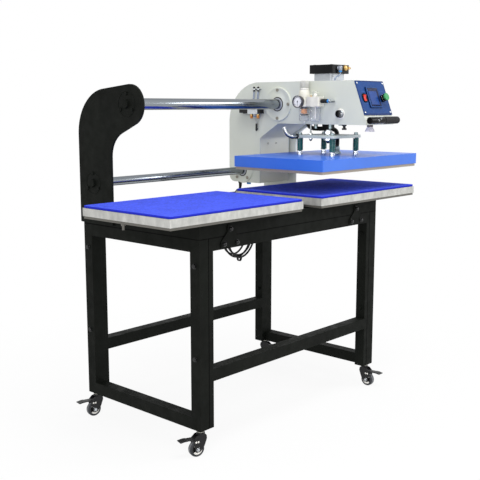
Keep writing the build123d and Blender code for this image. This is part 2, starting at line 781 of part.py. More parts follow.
def on_panel(x, down, z0, z1, shape_face):
    return PANEL * Pos(x, -down, z0) * extrude(shape_face, z1 - z0)


def panel_cutouts(z0, z1):
    screen = on_panel(SCREEN_X, SCREEN_DOWN, z0, z1, Rectangle(SCREEN_W - 10, SCREEN_H - 10))
    rocker = on_panel(ROCKER_X, ROCKER_DOWN, z0, z1, Rectangle(22, 28))
    button = on_panel(BUTTON_X, BUTTON_DOWN, z0, z1, Circle(11))
    return screen + rocker + button


def arm_floor():
    tray = head_band() & tray_zone()
    tray -= panel_cutouts(-SHEET - 2, 0)
    floor = (ARM_BOTTOM, ARM_BOTTOM + SHEET)
    tray -= rod_z(RIGHT_X, PLATEN_Y, *floor, BUSH_D + HOLE_CLEARANCE)
    tray -= rod_z(RIGHT_X + GUIDE_ROD_X, PLATEN_Y + GUIDE_ROD_Y, *floor, GUIDE_ROD_D + HOLE_CLEARANCE)
    tray -= rod_z(RIGHT_X + HOSE_END_X, PLATEN_Y + HOSE_END_Y, *floor, HOSE_D + HOSE_ARM_CLEAR)
    tray -= [rod_z(x, y, *floor, STUD_D + HOLE_CLEARANCE) for x, y in press_post_places(MOUNT_BOLT_OUT)]
    stop_x = HEAD_LEFT + 57
    stop_y = 45
    stop = rod_z(stop_x, stop_y, ARM_BOTTOM - 20, ARM_BOTTOM, 10)
    stop += rod_z(stop_x, stop_y, ARM_BOTTOM - 20, ARM_BOTTOM - 14, 17)
    stop += rod_z(stop_x, stop_y, ARM_BOTTOM - 6, ARM_BOTTOM, 17)
    return [tray, stop]


def shaft_bearings():
    pieces = []
    for y, z, d, flange_d, first, radius in bearing_places():
        face = HEAD_LEFT - BEARING_FLANGE
        seal_d = d + 2 * SEAL_WALL
        bush = rod_x(face, HEAD_LEFT, y, z, flange_d)
        bush += rod_x(HEAD_LEFT, HEAD_LEFT + BEARING_LENGTH, y, z, d + 2 * BEARING_WALL)
        bush -= rod_x(face, HEAD_LEFT + BEARING_LENGTH, y, z, d + 2 * RUNNING)
        bush -= rod_x(face, face + SEAL_DEPTH, y, z, seal_d)
        seal = rod_x(face - SEAL_PROUD, face + SEAL_DEPTH, y, z, seal_d)
        seal -= rod_x(face - SEAL_PROUD, face + SEAL_DEPTH, y, z, d + 2 * RUNNING)
        screws = []
        for screw_y, screw_z in bearing_screw_places(y, z, first, radius):
            bush -= rod_x(face, HEAD_LEFT, screw_y, screw_z, SCREW_D + HOLE_CLEARANCE)
            screw = rod_x(face - 3, face, screw_y, screw_z, SCREW_HEAD_D)
            screws.append(screw + rod_x(face, HEAD_LEFT + SIDE_PLATE + 6, screw_y, screw_z, SCREW_D))
        pieces += [bush, seal] + screws
    return pieces + [head_mirrored(piece) for piece in pieces]


def control_panel():
    down = PANEL_TOP_GAP + PANEL_LENGTH / 2
    panel = on_panel(HEAD_WIDTH / 2, down, 0, PANEL_THICK, RectangleRounded(HEAD_WIDTH, PANEL_LENGTH, 2))
    panel -= panel_cutouts(0, PANEL_THICK)
    screws = []
    for x in (9, HEAD_WIDTH - 9):
        for y in (PANEL_TOP_GAP + 9, PANEL_TOP_GAP + PANEL_LENGTH - 11):
            panel -= on_panel(x, y, 0, PANEL_THICK, Circle(2 + HOLE_CLEARANCE / 2))
            screws.append(
                on_panel(x, y, PANEL_THICK, PANEL_THICK + 2, Circle(3.5)) + on_panel(x, y, 0, PANEL_THICK, Circle(2))
            )
    return [panel] + screws


def touch_screen():
    face = PANEL_THICK + SCREEN_PROUD
    unit = on_panel(SCREEN_X, SCREEN_DOWN, PANEL_THICK, face, RectangleRounded(SCREEN_W, SCREEN_H, 4))
    unit -= on_panel(SCREEN_X - 1, SCREEN_DOWN - 1, face - 2, face, Rectangle(50, 51))
    unit += on_panel(SCREEN_X, SCREEN_DOWN, -15, PANEL_THICK, Rectangle(SCREEN_W - 11, SCREEN_H - 11))
    return unit


ROCKER_PIVOT = 1
ROCKER_WIDTH = 15
ROCKER_TILT = 8


def switch_housings():
    rocker = on_panel(ROCKER_X, ROCKER_DOWN, PANEL_THICK, PANEL_THICK + 3, RectangleRounded(28, 34, 12))
    rocker += on_panel(ROCKER_X, ROCKER_DOWN, -16, PANEL_THICK, Rectangle(21, 27))
    rocker -= on_panel(ROCKER_X, ROCKER_DOWN, -8, PANEL_THICK + 3, Rectangle(ROCKER_WIDTH + 0.6, 25))
    top = PANEL_THICK + BUTTON_PROUD
    button = on_panel(BUTTON_X, BUTTON_DOWN, PANEL_THICK, top, Circle(BUTTON_RING_D / 2))
    button += on_panel(BUTTON_X, BUTTON_DOWN, -16, PANEL_THICK, Circle(10.5))
    button -= on_panel(BUTTON_X, BUTTON_DOWN, top - 12, top, Circle(BUTTON_D / 2 + FIT))
    return [rocker, button]


def rocker_switch():
    key = outline([(-10, -3, 2), (10, -3, 2), (11.5, 6.5, 1), (0, 4, 0), (-11.5, 6.5, 1)])
    key = prism_x(key, -ROCKER_WIDTH / 2, ROCKER_WIDTH / 2)
    return PANEL * Pos(ROCKER_X, -ROCKER_DOWN, ROCKER_PIVOT) * Rot(ROCKER_TILT, 0, 0) * key


def start_button():
    top = PANEL_THICK + BUTTON_PROUD
    cap = rod_z(0, 0, top - 12 + BUTTON_TRAVEL + 1, top + 5, BUTTON_D)
    cap += rod_z(0, 0, top + 4, top + 4 + BUTTON_CAP, BUTTON_CAP_D)
    cap = fillet(cap.edges().group_by(Axis.Z)[-1], 2)
    return PANEL * Pos(BUTTON_X, -BUTTON_DOWN, 0) * cap


def nose_y(z):
    return NOSE_BOTTOM_Y + (z - ARM_BOTTOM) * (NOSE_TOP_Y - NOSE_BOTTOM_Y) / ARM_DEPTH


HANDLE_Z = ARM_BOTTOM + HANDLE_RISE
HANDLE_LEFT = HEAD_LEFT - HANDLE_OUT


def handle_bar():
    middle = HANDLE_LEFT + HANDLE_LENGTH / 2
    right = HANDLE_LEFT + HANDLE_LENGTH
    mount = rod_x(HANDLE_LEFT, middle, HANDLE_Y, HANDLE_Z, MOUNT_D)
    low = HANDLE_Z - 8
    high = HANDLE_Z + 8
    foot = outline([(HANDLE_Y, low, 0), (HANDLE_Y, high, 0), (nose_y(high), high, 0), (nose_y(low), low, 0)])
    mount += prism_x(foot, middle - 56, middle - 4)
    grip = fillet(rod_x(middle, right, HANDLE_Y, HANDLE_Z, GRIP_D).edges().group_by(Axis.X)[-1], 6)
    return [mount, grip]


def handle_screws():
    middle = HANDLE_LEFT + HANDLE_LENGTH / 2
    front = HANDLE_Y - GRIP_D / 2
    for x, rise in ((middle - 48, 0), (middle - 32, 6)):
        yield rod_y(x, front, HANDLE_Y - MOUNT_D / 2 + 3, HANDLE_Z + rise, 7)


def work_lamp():
    x = HEAD_LEFT + LAMP_IN
    socket = rod_z(x, LAMP_Y, ARM_BOTTOM - 7, ARM_BOTTOM, 22)
    lens = cone_z(x, LAMP_Y, ARM_BOTTOM - 24, ARM_BOTTOM - 7, 36, 20)
    return [socket, lens]


# Air cylinder

CAP_FRONT = PLATEN_Y - CAP_SIDE / 2
CLEAR_TUBE_X = RIGHT_X - 51
INLET_X = HEAD_LEFT + 42
INLET_Y = 500
INLET_D = 17
HOSE_END_X = -38
HOSE_END_Y = 72


def square_z(side, z0, z1, radius):
    half = side / 2
    return rounded_block(
        RIGHT_X - half, RIGHT_X + half, PLATEN_Y - half, PLATEN_Y + half, z0, z1, radius
    )


def cylinder_barrel():
    barrel = square_z(BARREL_SIDE, BARREL_BOTTOM, CAP_BOTTOM, 10)
    return barrel - rod_z(RIGHT_X, PLATEN_Y, BARREL_BOTTOM, CAP_BOTTOM, CYLINDER_BORE)


def cylinder_caps():
    plan = chamfer(Rectangle(CAP_SIDE, CAP_SIDE).vertices(), CAP_CORNER)
    cap = Pos(RIGHT_X, PLATEN_Y, CAP_BOTTOM) * extrude(plan, CAP_THICK)
    for x in PORT_OUTS:
        cap -= rod_y(RIGHT_X + x, CAP_FRONT, CAP_FRONT + 8, PORT_Z, 9 + HOLE_CLEARANCE)
    floor = ARM_BOTTOM + SHEET
    lower = square_z(LOWER_CAP_SIDE, floor, floor + LOWER_CAP, 8)
    lower += rod_z(RIGHT_X, PLATEN_Y, ARM_BOTTOM - BUSH_DROP, floor, BUSH_D)
    lower -= rod_z(RIGHT_X, PLATEN_Y, ARM_BOTTOM - BUSH_DROP, floor + LOWER_CAP, ROD_D + 2 * RUNNING)
    bolts = []
    for x, y in press_post_places(MOUNT_BOLT_OUT):
        lower -= rod_z(x, y, floor, floor + LOWER_CAP, STUD_D + HOLE_CLEARANCE)
        drop = MOUNT_HEAD + MOUNT_LOCKNUT if x < RIGHT_X else MOUNT_HEAD
        head = hex_z(x, y, ARM_BOTTOM - drop, ARM_BOTTOM, BOLT_FLATS)
        bolts.append(head + rod_z(x, y, ARM_BOTTOM, floor + LOWER_CAP - 2, STUD_D))
    return [cap, lower] + bolts


PORT_OUTS = (-16, 20)
PORT_Z = CAP_BOTTOM + CAP_THICK / 2 + 4.5


def ports_and_glands():
    elbow_x = RIGHT_X + PORT_OUTS[0]
    silencer_x = RIGHT_X + PORT_OUTS[1]
    tube_y = CAP_FRONT - 10
    elbow = rod_y(elbow_x, CAP_FRONT, CAP_FRONT + 6, PORT_Z, 9) + rod_y(elbow_x, tube_y, CAP_FRONT, PORT_Z, 12)
    elbow += rod_z(elbow_x, tube_y, PORT_Z - 10, PORT_Z + 7, 14)
    collar = rod_z(elbow_x, tube_y, PORT_Z - 16, PORT_Z - 10, 12)
    silencer = rod_y(silencer_x, CAP_FRONT, CAP_FRONT + 6, PORT_Z, 9)
    silencer += rod_y(silencer_x, CAP_FRONT - 12, CAP_FRONT, PORT_Z, 19)
    nipple = rod_x(silencer_x + 6, silencer_x + 32, CAP_FRONT - 6, PORT_Z, 7)
    nipple += hex_x(silencer_x + 14, silencer_x + 22, CAP_FRONT - 6, PORT_Z, 12)
    silencer += nipple
    tube_top = PORT_Z - 16
    tube = free_tube([
        (elbow_x, tube_y, tube_top), (elbow_x - 1, tube_y, tube_top - 9),
        (CLEAR_TUBE_X + 20, tube_y - 1, HEAD_TOP + 18), (CLEAR_TUBE_X + 2, tube_y - 0.5, HEAD_TOP + 11),
        (CLEAR_TUBE_X, tube_y, HEAD_TOP + 1), (CLEAR_TUBE_X, tube_y, HEAD_TOP - 8),
    ], 6)
    gland_x = HEAD_LEFT + CORD_GLAND_X
    gland = rod_z(gland_x, CORD_GLAND_Y, HEAD_BOTTOM - CORD_GLAND, HEAD_BOTTOM, 18)
    gland += rod_z(gland_x, CORD_GLAND_Y, HEAD_BOTTOM, HEAD_BOTTOM + SHEET + 4, 13.6)
    inlet = rod_z(INLET_X, INLET_Y, HEAD_BOTTOM - 5, HEAD_BOTTOM, INLET_D + 2)
    inlet += rod_z(INLET_X, INLET_Y, HEAD_BOTTOM, HEAD_BOTTOM + SHEET + 8, 11.6)
    ring = rod_z(INLET_X, INLET_Y, HEAD_BOTTOM - 12, HEAD_BOTTOM - 5, INLET_D) - rod_z(
        INLET_X, INLET_Y, HEAD_BOTTOM - 12, HEAD_BOTTOM - 5, 8
    )
    return [elbow, collar, silencer, tube, gland, inlet, ring]


# Press body

def piston_rod():
    foot = CROSS_BOTTOM - 4
    piston_bottom = CAP_BOTTOM - 16
    rod = rod_z(RIGHT_X, PLATEN_Y, foot, piston_bottom, ROD_D)
    rod += rod_z(RIGHT_X, PLATEN_Y, piston_bottom, piston_bottom + 14, CYLINDER_BORE - 0.2)
    upper = hex_z(RIGHT_X, PLATEN_Y, CROSS_TOP, CROSS_TOP + 15, 28)
    upper -= rod_z(RIGHT_X, PLATEN_Y, CROSS_TOP, CROSS_TOP + 15, ROD_D)
    dome = hex_z(RIGHT_X, PLATEN_Y, CROSS_BOTTOM - 11, CROSS_BOTTOM, 28)
    dome += cone_z(RIGHT_X, PLATEN_Y, CROSS_BOTTOM - 22, CROSS_BOTTOM - 11, 16, 26)
    dome -= rod_z(RIGHT_X, PLATEN_Y, foot, CROSS_BOTTOM, ROD_D)
    x = RIGHT_X + GUIDE_ROD_X
    y = PLATEN_Y + GUIDE_ROD_Y
    guide = rod_z(x, y, CROSS_BOTTOM - 4, ARM_BOTTOM + PRESS_STROKE + 30, GUIDE_ROD_D)
    acorn = hex_z(x, y, CROSS_BOTTOM - 6, CROSS_BOTTOM, 13)
    acorn += cone_z(x, y, CROSS_BOTTOM - 13, CROSS_BOTTOM - 6, 6, 12)
    acorn -= rod_z(x, y, CROSS_BOTTOM - 4, CROSS_BOTTOM, GUIDE_ROD_D)
    return [rod, upper, dome, guide, acorn]


STUB_Y = 78
STUB_D = 17
FERRULE = 10
FERRULE_D = 19


def cross_plate():
    half = CROSS_SIDE / 2
    plate = rounded_block(
        RIGHT_X - half, RIGHT_X + half, PLATEN_Y - half, PLATEN_Y + half, CROSS_BOTTOM, CROSS_TOP, 8
    )
    plate -= [rod_z(x, y, CROSS_BOTTOM, CROSS_TOP, STUD_D + HOLE_CLEARANCE) for x, y in press_post_places(STUD_OUT)]
    plate -= rod_z(RIGHT_X, PLATEN_Y, CROSS_BOTTOM, CROSS_TOP, ROD_D + HOLE_CLEARANCE)
    plate -= rod_z(RIGHT_X + HOSE_X, PLATEN_Y, CROSS_BOTTOM, CROSS_TOP, HOSE_D + HOSE_PLATE_CLEAR)
    plate -= rod_z(
        RIGHT_X + GUIDE_ROD_X, PLATEN_Y + GUIDE_ROD_Y, CROSS_BOTTOM, CROSS_TOP, GUIDE_ROD_D + HOLE_CLEARANCE
    )
    edge = RIGHT_X - half
    y = PLATEN_Y + STUB_Y
    z = (CROSS_BOTTOM + CROSS_TOP) / 2
    ferrule = rod_x(edge - FERRULE, edge, y, z, FERRULE_D)
    stub = free_tube([
        (edge - FERRULE, y, z), (edge - 25, y + 1, z - 2), (edge - 37, y + 12, z + 4),
        (edge - 43, y + 20, z + 17), (edge - 46, y + 26, z + 35),
    ], STUB_D)
    return [plate, ferrule, stub]


def spring_point(turn):
    rise = (SPRING_LENGTH - SPRING_WIRE - 2 * FIT) / SPRING_TURNS
    radius = SPRING_MEAN_D / 2
    height = SPRING_BOTTOM + SPRING_WIRE / 2 + FIT + rise * turn / (2 * math.pi)
    return Vector(radius * math.cos(turn), radius * math.sin(turn), height)


def way_at(point_at, turn):
    step = 0.0005
    return (point_at(turn + step) - point_at(turn - step)).normalized()


def wound(point_at, turns, share, d, straight):
    count = round(turns / share)
    angles = [2 * math.pi * share * i for i in range(count + 1)]
    edges = []
    for first, last in zip(angles, angles[1:]):
        edges += biarc(point_at(first), way_at(point_at, first), point_at(last), way_at(point_at, last))
    if straight:
        start = point_at(0)
        end = point_at(angles[-1])
        edges.insert(0, Line(start - way_at(point_at, 0) * straight, start))
        edges.append(Line(end, end + way_at(point_at, angles[-1]) * straight))
    return swept(edges, d)


def press_springs():
    print("spring least gap", round(least_gap(spring_point, SPRING_TURNS, SPRING_WIRE), 2))
    spring = wound(spring_point, SPRING_TURNS, 0.5, SPRING_WIRE, 0)
    return [Pos(x, y, 0) * spring for x, y in press_post_places(STUD_OUT)]


def spring_bolts():
    pieces = []
    for x, y in press_post_places(STUD_OUT):
        bolt = rod_z(x, y, COVER_TOP, CROSS_TOP + STUD_PROUD, STUD_D)
        bolt += hex_z(x, y, COVER_TOP, COVER_TOP + 5, 17)
        bolt += hex_z(x, y, COVER_TOP + 7, SPRING_BOTTOM, 17)
        bolt += rod_z(x, y, COVER_TOP + 5, COVER_TOP + 7, 22)
        nut = rod_z(x, y, CROSS_TOP, CROSS_TOP + 1.5, 18) + hex_z(x, y, CROSS_TOP + 1.5, CROSS_TOP + 8, 13)
        pieces += [bolt, nut - rod_z(x, y, CROSS_TOP, CROSS_TOP + 8, STUD_D)]
    return pieces


def heater_cover():
    half_x = PLATEN_LENGTH / 2 + COVER_LIP_X
    half_y = PLATEN_DEPTH / 2 + COVER_LIP_Y
    cover = rounded_block(
        RIGHT_X - half_x, RIGHT_X + half_x, PLATEN_Y - half_y, PLATEN_Y + half_y, COVER_BOTTOM, COVER_TOP, 3
    )
    return cover - block(
        RIGHT_X - half_x + COVER_SHEET, RIGHT_X + half_x - COVER_SHEET,
        PLATEN_Y - half_y + COVER_SHEET, PLATEN_Y + half_y - COVER_SHEET,
        COVER_BOTTOM, COVER_TOP - COVER_SHEET,
    )


def heat_platen():
    plate = platen_slab(RIGHT_X, HEAT_BOTTOM, COVER_BOTTOM, 0, 4)
    plate += platen_slab(RIGHT_X, COVER_BOTTOM, COVER_BOTTOM + ELEMENT, 8, 3)
    bosses = [rod_z(x, y, COVER_BOTTOM, COVER_TOP - COVER_SHEET, 30) for x, y in press_post_places(STUD_OUT)]
    return plate + bosses


def hose_path():
    low = COVER_TOP + GLAND_HEIGHT
    arch = ARM_BOTTOM - 20
    points = [
        (HOSE_X, 0, low), (HOSE_X + 1, 0, arch - 18), (HOSE_X - 6, 5, arch - 4), (HOSE_X - 20, 15, arch + 2),
        (-4, 46, arch + 1), (-22, 60, arch + 3), (HOSE_END_X + 3, HOSE_END_Y - 3, arch + 14),
        (HOSE_END_X, HOSE_END_Y, arch + 38), (HOSE_END_X, HOSE_END_Y + 1, arch + 62 + PRESS_STROKE / 2),
    ]
    points = [Vector(RIGHT_X + x, PLATEN_Y + y, z) for x, y, z in points]
    return Wire(bent_line(points).edges())


def heater_hose():
    path = hose_path()
    length = path.length
    ribs = int((length - 2 * HOSE_D) / HOSE_RIB)
    valley = HOSE_D / 2 - 1.2
    stations = [(0, valley)]
    for rib in range(ribs):
        start = HOSE_D + rib * HOSE_RIB
        for share, radius in ((0.1, valley), (0.3, HOSE_D / 2), (0.6, HOSE_D / 2), (0.8, valley)):
            stations.append((start + share * HOSE_RIB, radius))
    stations.append((length, valley))
    across = Vector(0.6, 0.75, -0.1)
    outside = []
    inside = []
    for distance, radius in stations:
        share = distance / length
        way = path % share
        plane = Plane(origin=path @ share, x_dir=across - way * across.dot(way), z_dir=way)
        outside.append(plane * Circle(radius))
        inside.append(plane * Circle(HOSE_BORE / 2))
    hose = loft(outside, ruled=True) - loft(inside, ruled=True)
    print("hose ribs", ribs, "length", round(length, 1))
    foot = path @ 0
    gland = hex_z(foot.X, foot.Y, COVER_TOP, COVER_TOP + 9, 24)
    gland += rod_z(foot.X, foot.Y, COVER_TOP + 9, foot.Z, HOSE_D + 1)
    return [hose, gland]


# Air unit, gauge, valve and small knobs on the left side

REG_BOTTOM = ARM_BOTTOM + 83 + REG_RISE
LUB_TOP = REG_BOTTOM + LUB_HEIGHT


def air_unit():
    x0 = AIR_X - AIR_BODY / 2
    x1 = AIR_X + AIR_BODY / 2
    low = REG_Y - REG_WIDTH / 2
    body = rounded_block(x0, x1, low, REG_Y + REG_WIDTH / 2, REG_BOTTOM, REG_BOTTOM + REG_HEIGHT, 5)
    body += block(x1, HEAD_LEFT, REG_Y - 12, REG_Y + 12, REG_BOTTOM + 20, REG_BOTTOM + 44)
    lub = rounded_block(x0 + 2, x1 - 2, low - LUB_WIDTH, low, REG_BOTTOM, LUB_TOP, 3)
    dome = rod_z(AIR_X, LUB_Y, LUB_TOP, LUB_TOP + 12, 28)
    dome += cone_z(AIR_X, LUB_Y, LUB_TOP + 12, LUB_TOP + 21, 26, 14)
    end = low - LUB_WIDTH
    z = REG_BOTTOM + LUB_HEIGHT * 0.55
    outlet = rod_y(AIR_X, end - OUTLET_BODY, end, z, OUTLET_D)
    outlet += rod_y(AIR_X, end - OUTLET_LENGTH, end - OUTLET_BODY, z, OUTLET_D - 3)
    outlet += rod_x(AIR_X, HEAD_LEFT, end - (OUTLET_BODY + OUTLET_LENGTH) / 2, z, OUTLET_D - 5)
    return [body, lub, dome, outlet]


def air_bowls():
    pieces = []
    for y, drain in ((REG_Y, True), (LUB_Y, False)):
        top = REG_BOTTOM - 1.5
        low = top - BOWL_HEIGHT
        bowl = fillet(rod_z(AIR_X, y, low, top, BOWL_D).edges().group_by(Axis.Z)[0], 5)
        bowl -= rod_z(AIR_X, y, low + BOWL_WALL, top, BOWL_D - 2 * BOWL_WALL)
        pieces += [bowl, rod_z(AIR_X, y, top, REG_BOTTOM, BOWL_D - 2)]
        if drain:
            pieces.append(rod_z(AIR_X, y, low - 6, low, 8))
            pieces.append(rod_z(AIR_X, y, top - 24, top, 22))
        else:
            pieces.append(rod_z(AIR_X, y, low + 8, top, 5))
    return pieces


GAUGE_CENTRE_Z = REG_BOTTOM + REG_HEIGHT / 2 - 30 + GAUGE_Z + 8
GAUGE_BACK = AIR_X - AIR_BODY / 2 - 6
GAUGE_FACE = GAUGE_BACK - GAUGE_DEPTH


def pressure_gauge():
    case = rod_x(GAUGE_FACE, GAUGE_BACK, REG_Y, GAUGE_CENTRE_Z, GAUGE_D)
    case -= rod_x(GAUGE_FACE, GAUGE_FACE + 6, REG_Y, GAUGE_CENTRE_Z, GAUGE_D - 5)
    stem = rod_x(GAUGE_BACK, AIR_X - AIR_BODY / 2, REG_Y, GAUGE_CENTRE_Z, 12)
    post = rod_x(GAUGE_FACE + 4.4, GAUGE_FACE + 6, REG_Y, GAUGE_CENTRE_Z, 2)
    lens = rod_x(GAUGE_FACE, GAUGE_FACE + 1.5, REG_Y, GAUGE_CENTRE_Z, GAUGE_D - 5)
    return [case + stem + post, lens]


def gauge_needle():
    hub = rod_x(GAUGE_FACE + 3, GAUGE_FACE + 4.2, REG_Y, GAUGE_CENTRE_Z, 5)
    pointer = block(-14, 4, -0.6, 0.6, GAUGE_FACE + 3, GAUGE_FACE + 4.2)
    pointer = Rot(0, 90, 0) * pointer
    return hub + Pos(0, REG_Y, GAUGE_CENTRE_Z) * pointer


def regulator_knob():
    z0 = REG_BOTTOM + REG_HEIGHT
    knob = rod_z(AIR_X, REG_Y, z0 + FIT, z0 + KNOB_HEIGHT, KNOB_D)
    knob = fillet(knob.edges().group_by(Axis.Z)[-1], 2)
    grooves = [
        Pos(AIR_X, REG_Y, 0) * Rot(0, 0, 22.5 * i) * rod_z(KNOB_D / 2 + 0.6, 0, z0 + 4, z0 + KNOB_HEIGHT, 3)
        for i in range(16)
    ]
    return knob - grooves


def flow_knob():
    z = ARM_BOTTOM + FLOW_KNOB_RISE
    face = HEAD_LEFT - FIT
    front = face - FLOW_DISC
    knob = rod_x(front, face, FLOW_KNOB_Y, z, FLOW_KNOB_D)
    grip = rod_x(front - FLOW_GRIP, front, FLOW_KNOB_Y, z, FLOW_KNOB_D - 1)
    open_half = block(
        front - FLOW_GRIP, front, FLOW_KNOB_Y - FLOW_KNOB_D, FLOW_KNOB_Y + 1, z - FLOW_KNOB_D, z + FLOW_KNOB_D
    )
    return knob + (grip - open_half)


VALVE_Z = ARM_BOTTOM + VALVE_RISE


def valve_block():
    x0 = HEAD_LEFT - VALVE_OUT
    front = VALVE_Y - VALVE_LENGTH / 2
    back = VALVE_Y + VALVE_LENGTH / 2
    half = VALVE_HEIGHT / 2
    body = block(x0, HEAD_LEFT, front, back, VALVE_Z - half, VALVE_Z + half)
    coils = [
        rounded_block(x0 + 2, HEAD_LEFT - 2, back, back + COIL_LONG, VALVE_Z - half + 2, VALVE_Z + half - 2, 2),
        rounded_block(x0 + 2, HEAD_LEFT - 2, front - COIL_SHORT, front, VALVE_Z - half + 2, VALVE_Z + half - 2, 2),
    ]
    silencers = []
    for y in (VALVE_Y - 20, VALVE_Y + 14):
        silencer = rod_z(x0 + 12, y, VALVE_Z - half - SILENCER_DROP, VALVE_Z - half, SILENCER_D)
        silencers.append(silencer + hex_z(x0 + 12, y, VALVE_Z - half - 5, VALVE_Z - half, SILENCER_D + 1))
    collar = rod_z(x0 + 12, VALVE_Y - 3, VALVE_Z - half - 9, VALVE_Z - half, SILENCER_D)
    boss_x = HEAD_LEFT - 6
    boss_z = VALVE_Z - 70
    grommet = rod_x(boss_x, HEAD_LEFT, VALVE_Y - 3, boss_z, 7)
    grommet += rod_z(boss_x, VALVE_Y - 3, boss_z - 7, boss_z + 22, 8)
    hanging = free_tube([
        (x0 + 12, VALVE_Y - 3, VALVE_Z - 21), (x0 + 12, VALVE_Y - 3, VALVE_Z - 28),
        (boss_x, VALVE_Y - 3, VALVE_Z - 41), (boss_x, VALVE_Y - 3, boss_z + 22),
    ], HANGING_TUBE_D)
    tubes = []
    fitting_low = VALVE_Z + TUBE_FITTING_RISE
    for y in (VALVE_Y - 20, VALVE_Y + 1):
        tubes.append(free_tube([
            (x0 + 12, y, VALVE_Z + half), (x0 + 11, y + 1, VALVE_Z + 30), (x0 + 11, y + 1, VALVE_Z + 52),
            (x0 + 12, y, fitting_low),
        ], VALVE_TUBE_D))
        fitting = rod_z(x0 + 12, y, fitting_low, fitting_low + TUBE_FITTING, TUBE_FITTING_D)
        tubes.append(fitting + rod_x(x0 + 12, HEAD_LEFT, y, fitting_low + TUBE_FITTING / 2, 7))
    return [body] + coils + silencers + [collar, hanging, grommet] + tubes


# Mains cord on the head

def hank_point(turn):
    outward = min(max(turn / math.pi - 2 * HANK_TURNS + 1, 0), 1)
    half_width = HANK_HALF_WIDTH + 9 * math.sin(turn / 2.7) ** 2
    half_height = HANK_HALF_HEIGHT - 12 * math.sin(turn / 4.1) ** 2
    return Vector(
        HANK_X - half_width * math.cos(turn),
        HANK_Y + HANK_PITCH * turn / (2 * math.pi) + PLUG_OUT * outward ** 2 * (3 - 2 * outward),
        HANK_Z - half_height * math.sin(turn),
    )


def cord_hank():
    print("hank least gap", round(least_gap(hank_point, HANK_TURNS, CORD_D), 2))
    hank = wound(hank_point, HANK_TURNS, 0.25, CORD_D, CORD_D)
    print("hank length", round(hank.volume / (math.pi * CORD_D ** 2 / 4), 0))
    return hank


def power_cord():
    way = way_at(hank_point, 0)
    end = hank_point(0) - way * CORD_D
    before = end - way * 43
    x = HEAD_LEFT + CORD_GLAND_X
    y = CORD_GLAND_Y
    start = HEAD_BOTTOM - CORD_GLAND
    over = BASE_TOP + CORD_D / 2 + 3.6
    points = [
        (x, y, start), (x, y, start - 11), (x + 2, y + 5.5, start - 21.5), (x + 8.5, y + 16, over),
        (x + 21, y + 34, over + 0.4), (x + 29, y + 47, over - 5), (x + 29.5, y + 56.5, over - 18),
        (x + 20, y + 62.5, over - 43), (x + 4, y + 66, over - 76), tuple(before), tuple(end),
    ]
    return free_tube(points, CORD_D)


def mains_plug():
    end = 2 * math.pi * HANK_TURNS
    way = way_at(hank_point, end)
    foot = Plane(origin=hank_point(end) + way * CORD_D, z_dir=way)
    relief = Pos(0, 0, PLUG_RELIEF / 2) * Cone(CORD_D / 2 + 1, 8, PLUG_RELIEF)
    body = extrude(RectangleRounded(36, 30, 12), PLUG_BODY)
    body = Pos(0, 0, PLUG_RELIEF) * fillet(body.edges().group_by(Axis.Z)[-1], 4)
    pins = [Pos(side * 9.5, 0, PLUG_RELIEF + PLUG_BODY + PLUG_PIN / 2) * Cylinder(2.4, PLUG_PIN) for side in (-1, 1)]
    return foot * (relief + body + pins)


# Build and save every node

def build():
    left_end = end_frame()
    save("end_frame_left", left_end)
    save("end_frame_right", mirrored_x(left_end))
    save("front_frame", front_frame())
    save("back_frame", mirrored_y(front_frame()))
    save("base_frame", base_frame())
    save("joint_plates_and_bolts", *joint_plates_and_bolts())
    save("guide_plate_left", guide_plate())
    save("guide_plate_right", mirrored_x(guide_plate()))
    save("guide_shafts", *guide_shafts())
    save("platen_backings", *platen_backings())
    for name, centre_x in (("left", LEFT_X), ("right", RIGHT_X)):
        save(f"lower_platen_{name}", platen_slab(centre_x, PLATEN_BOTTOM, PLATEN_TOP, 0, 4))
        save(f"platen_pad_{name}", platen_slab(centre_x, PLATEN_TOP, PAD_TOP, PAD_INSET, 8))
    stems = []
    for name, (x, y) in caster_places().items():
        place = Pos(x, y, 0) * Rot(0, 0, CASTER_TURNS[name])
        stems += [place * piece for piece in caster_stem()]
        save(f"caster_housing_{name}", place * caster_housing(), *[place * piece for piece in caster_axle()])
        save(f"caster_wheel_{name}", *[place * piece for piece in caster_wheel()])
        save(f"caster_brake_{name}", place * caster_brake())
    save("caster_stems", *stems)
    save("head_side_left", head_side())
    save("head_side_right", head_mirrored(head_side()))
    save("head_top_cover", head_top_cover())
    save("throat_cover", *throat_cover())
    save("arm_floor", *arm_floor())
    save("shaft_bearings", *shaft_bearings())
    save("control_panel", *control_panel())
    save("touch_screen", touch_screen())
    save("switch_housings", *switch_housings())
    save("rocker_switch", rocker_switch())
    save("start_button", start_button())
    mount, grip = handle_bar()
    screws = list(handle_screws())
    save("handle_bar", mount - screws, grip, *screws)
    save("work_lamp", *work_lamp())
    save("cylinder_barrel", cylinder_barrel())
    save("cylinder_caps", *cylinder_caps())
    save("ports_and_glands", *ports_and_glands())
    save("piston_rod", *piston_rod())
    save("cross_plate", *cross_plate())
    save("press_springs", *press_springs())
    save("spring_bolts", *spring_bolts())
    save("heater_cover", heater_cover())
    save("heat_platen", heat_platen())
    save("heater_hose", *heater_hose())
    save("air_unit", *air_unit())
    save("air_bowls", *air_bowls())
    save("pressure_gauge", *pressure_gauge())
    save("gauge_needle", gauge_needle())
    save("regulator_knob", regulator_knob())
    save("flow_knob", flow_knob())
    save("valve_block", *valve_block())
    save("power_cord", power_cord())
    save("cord_hank", cord_hank())
    save("mains_plug", mains_plug())


build()
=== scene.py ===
import math

import bmesh
import bpy
from mathutils import Matrix, Vector


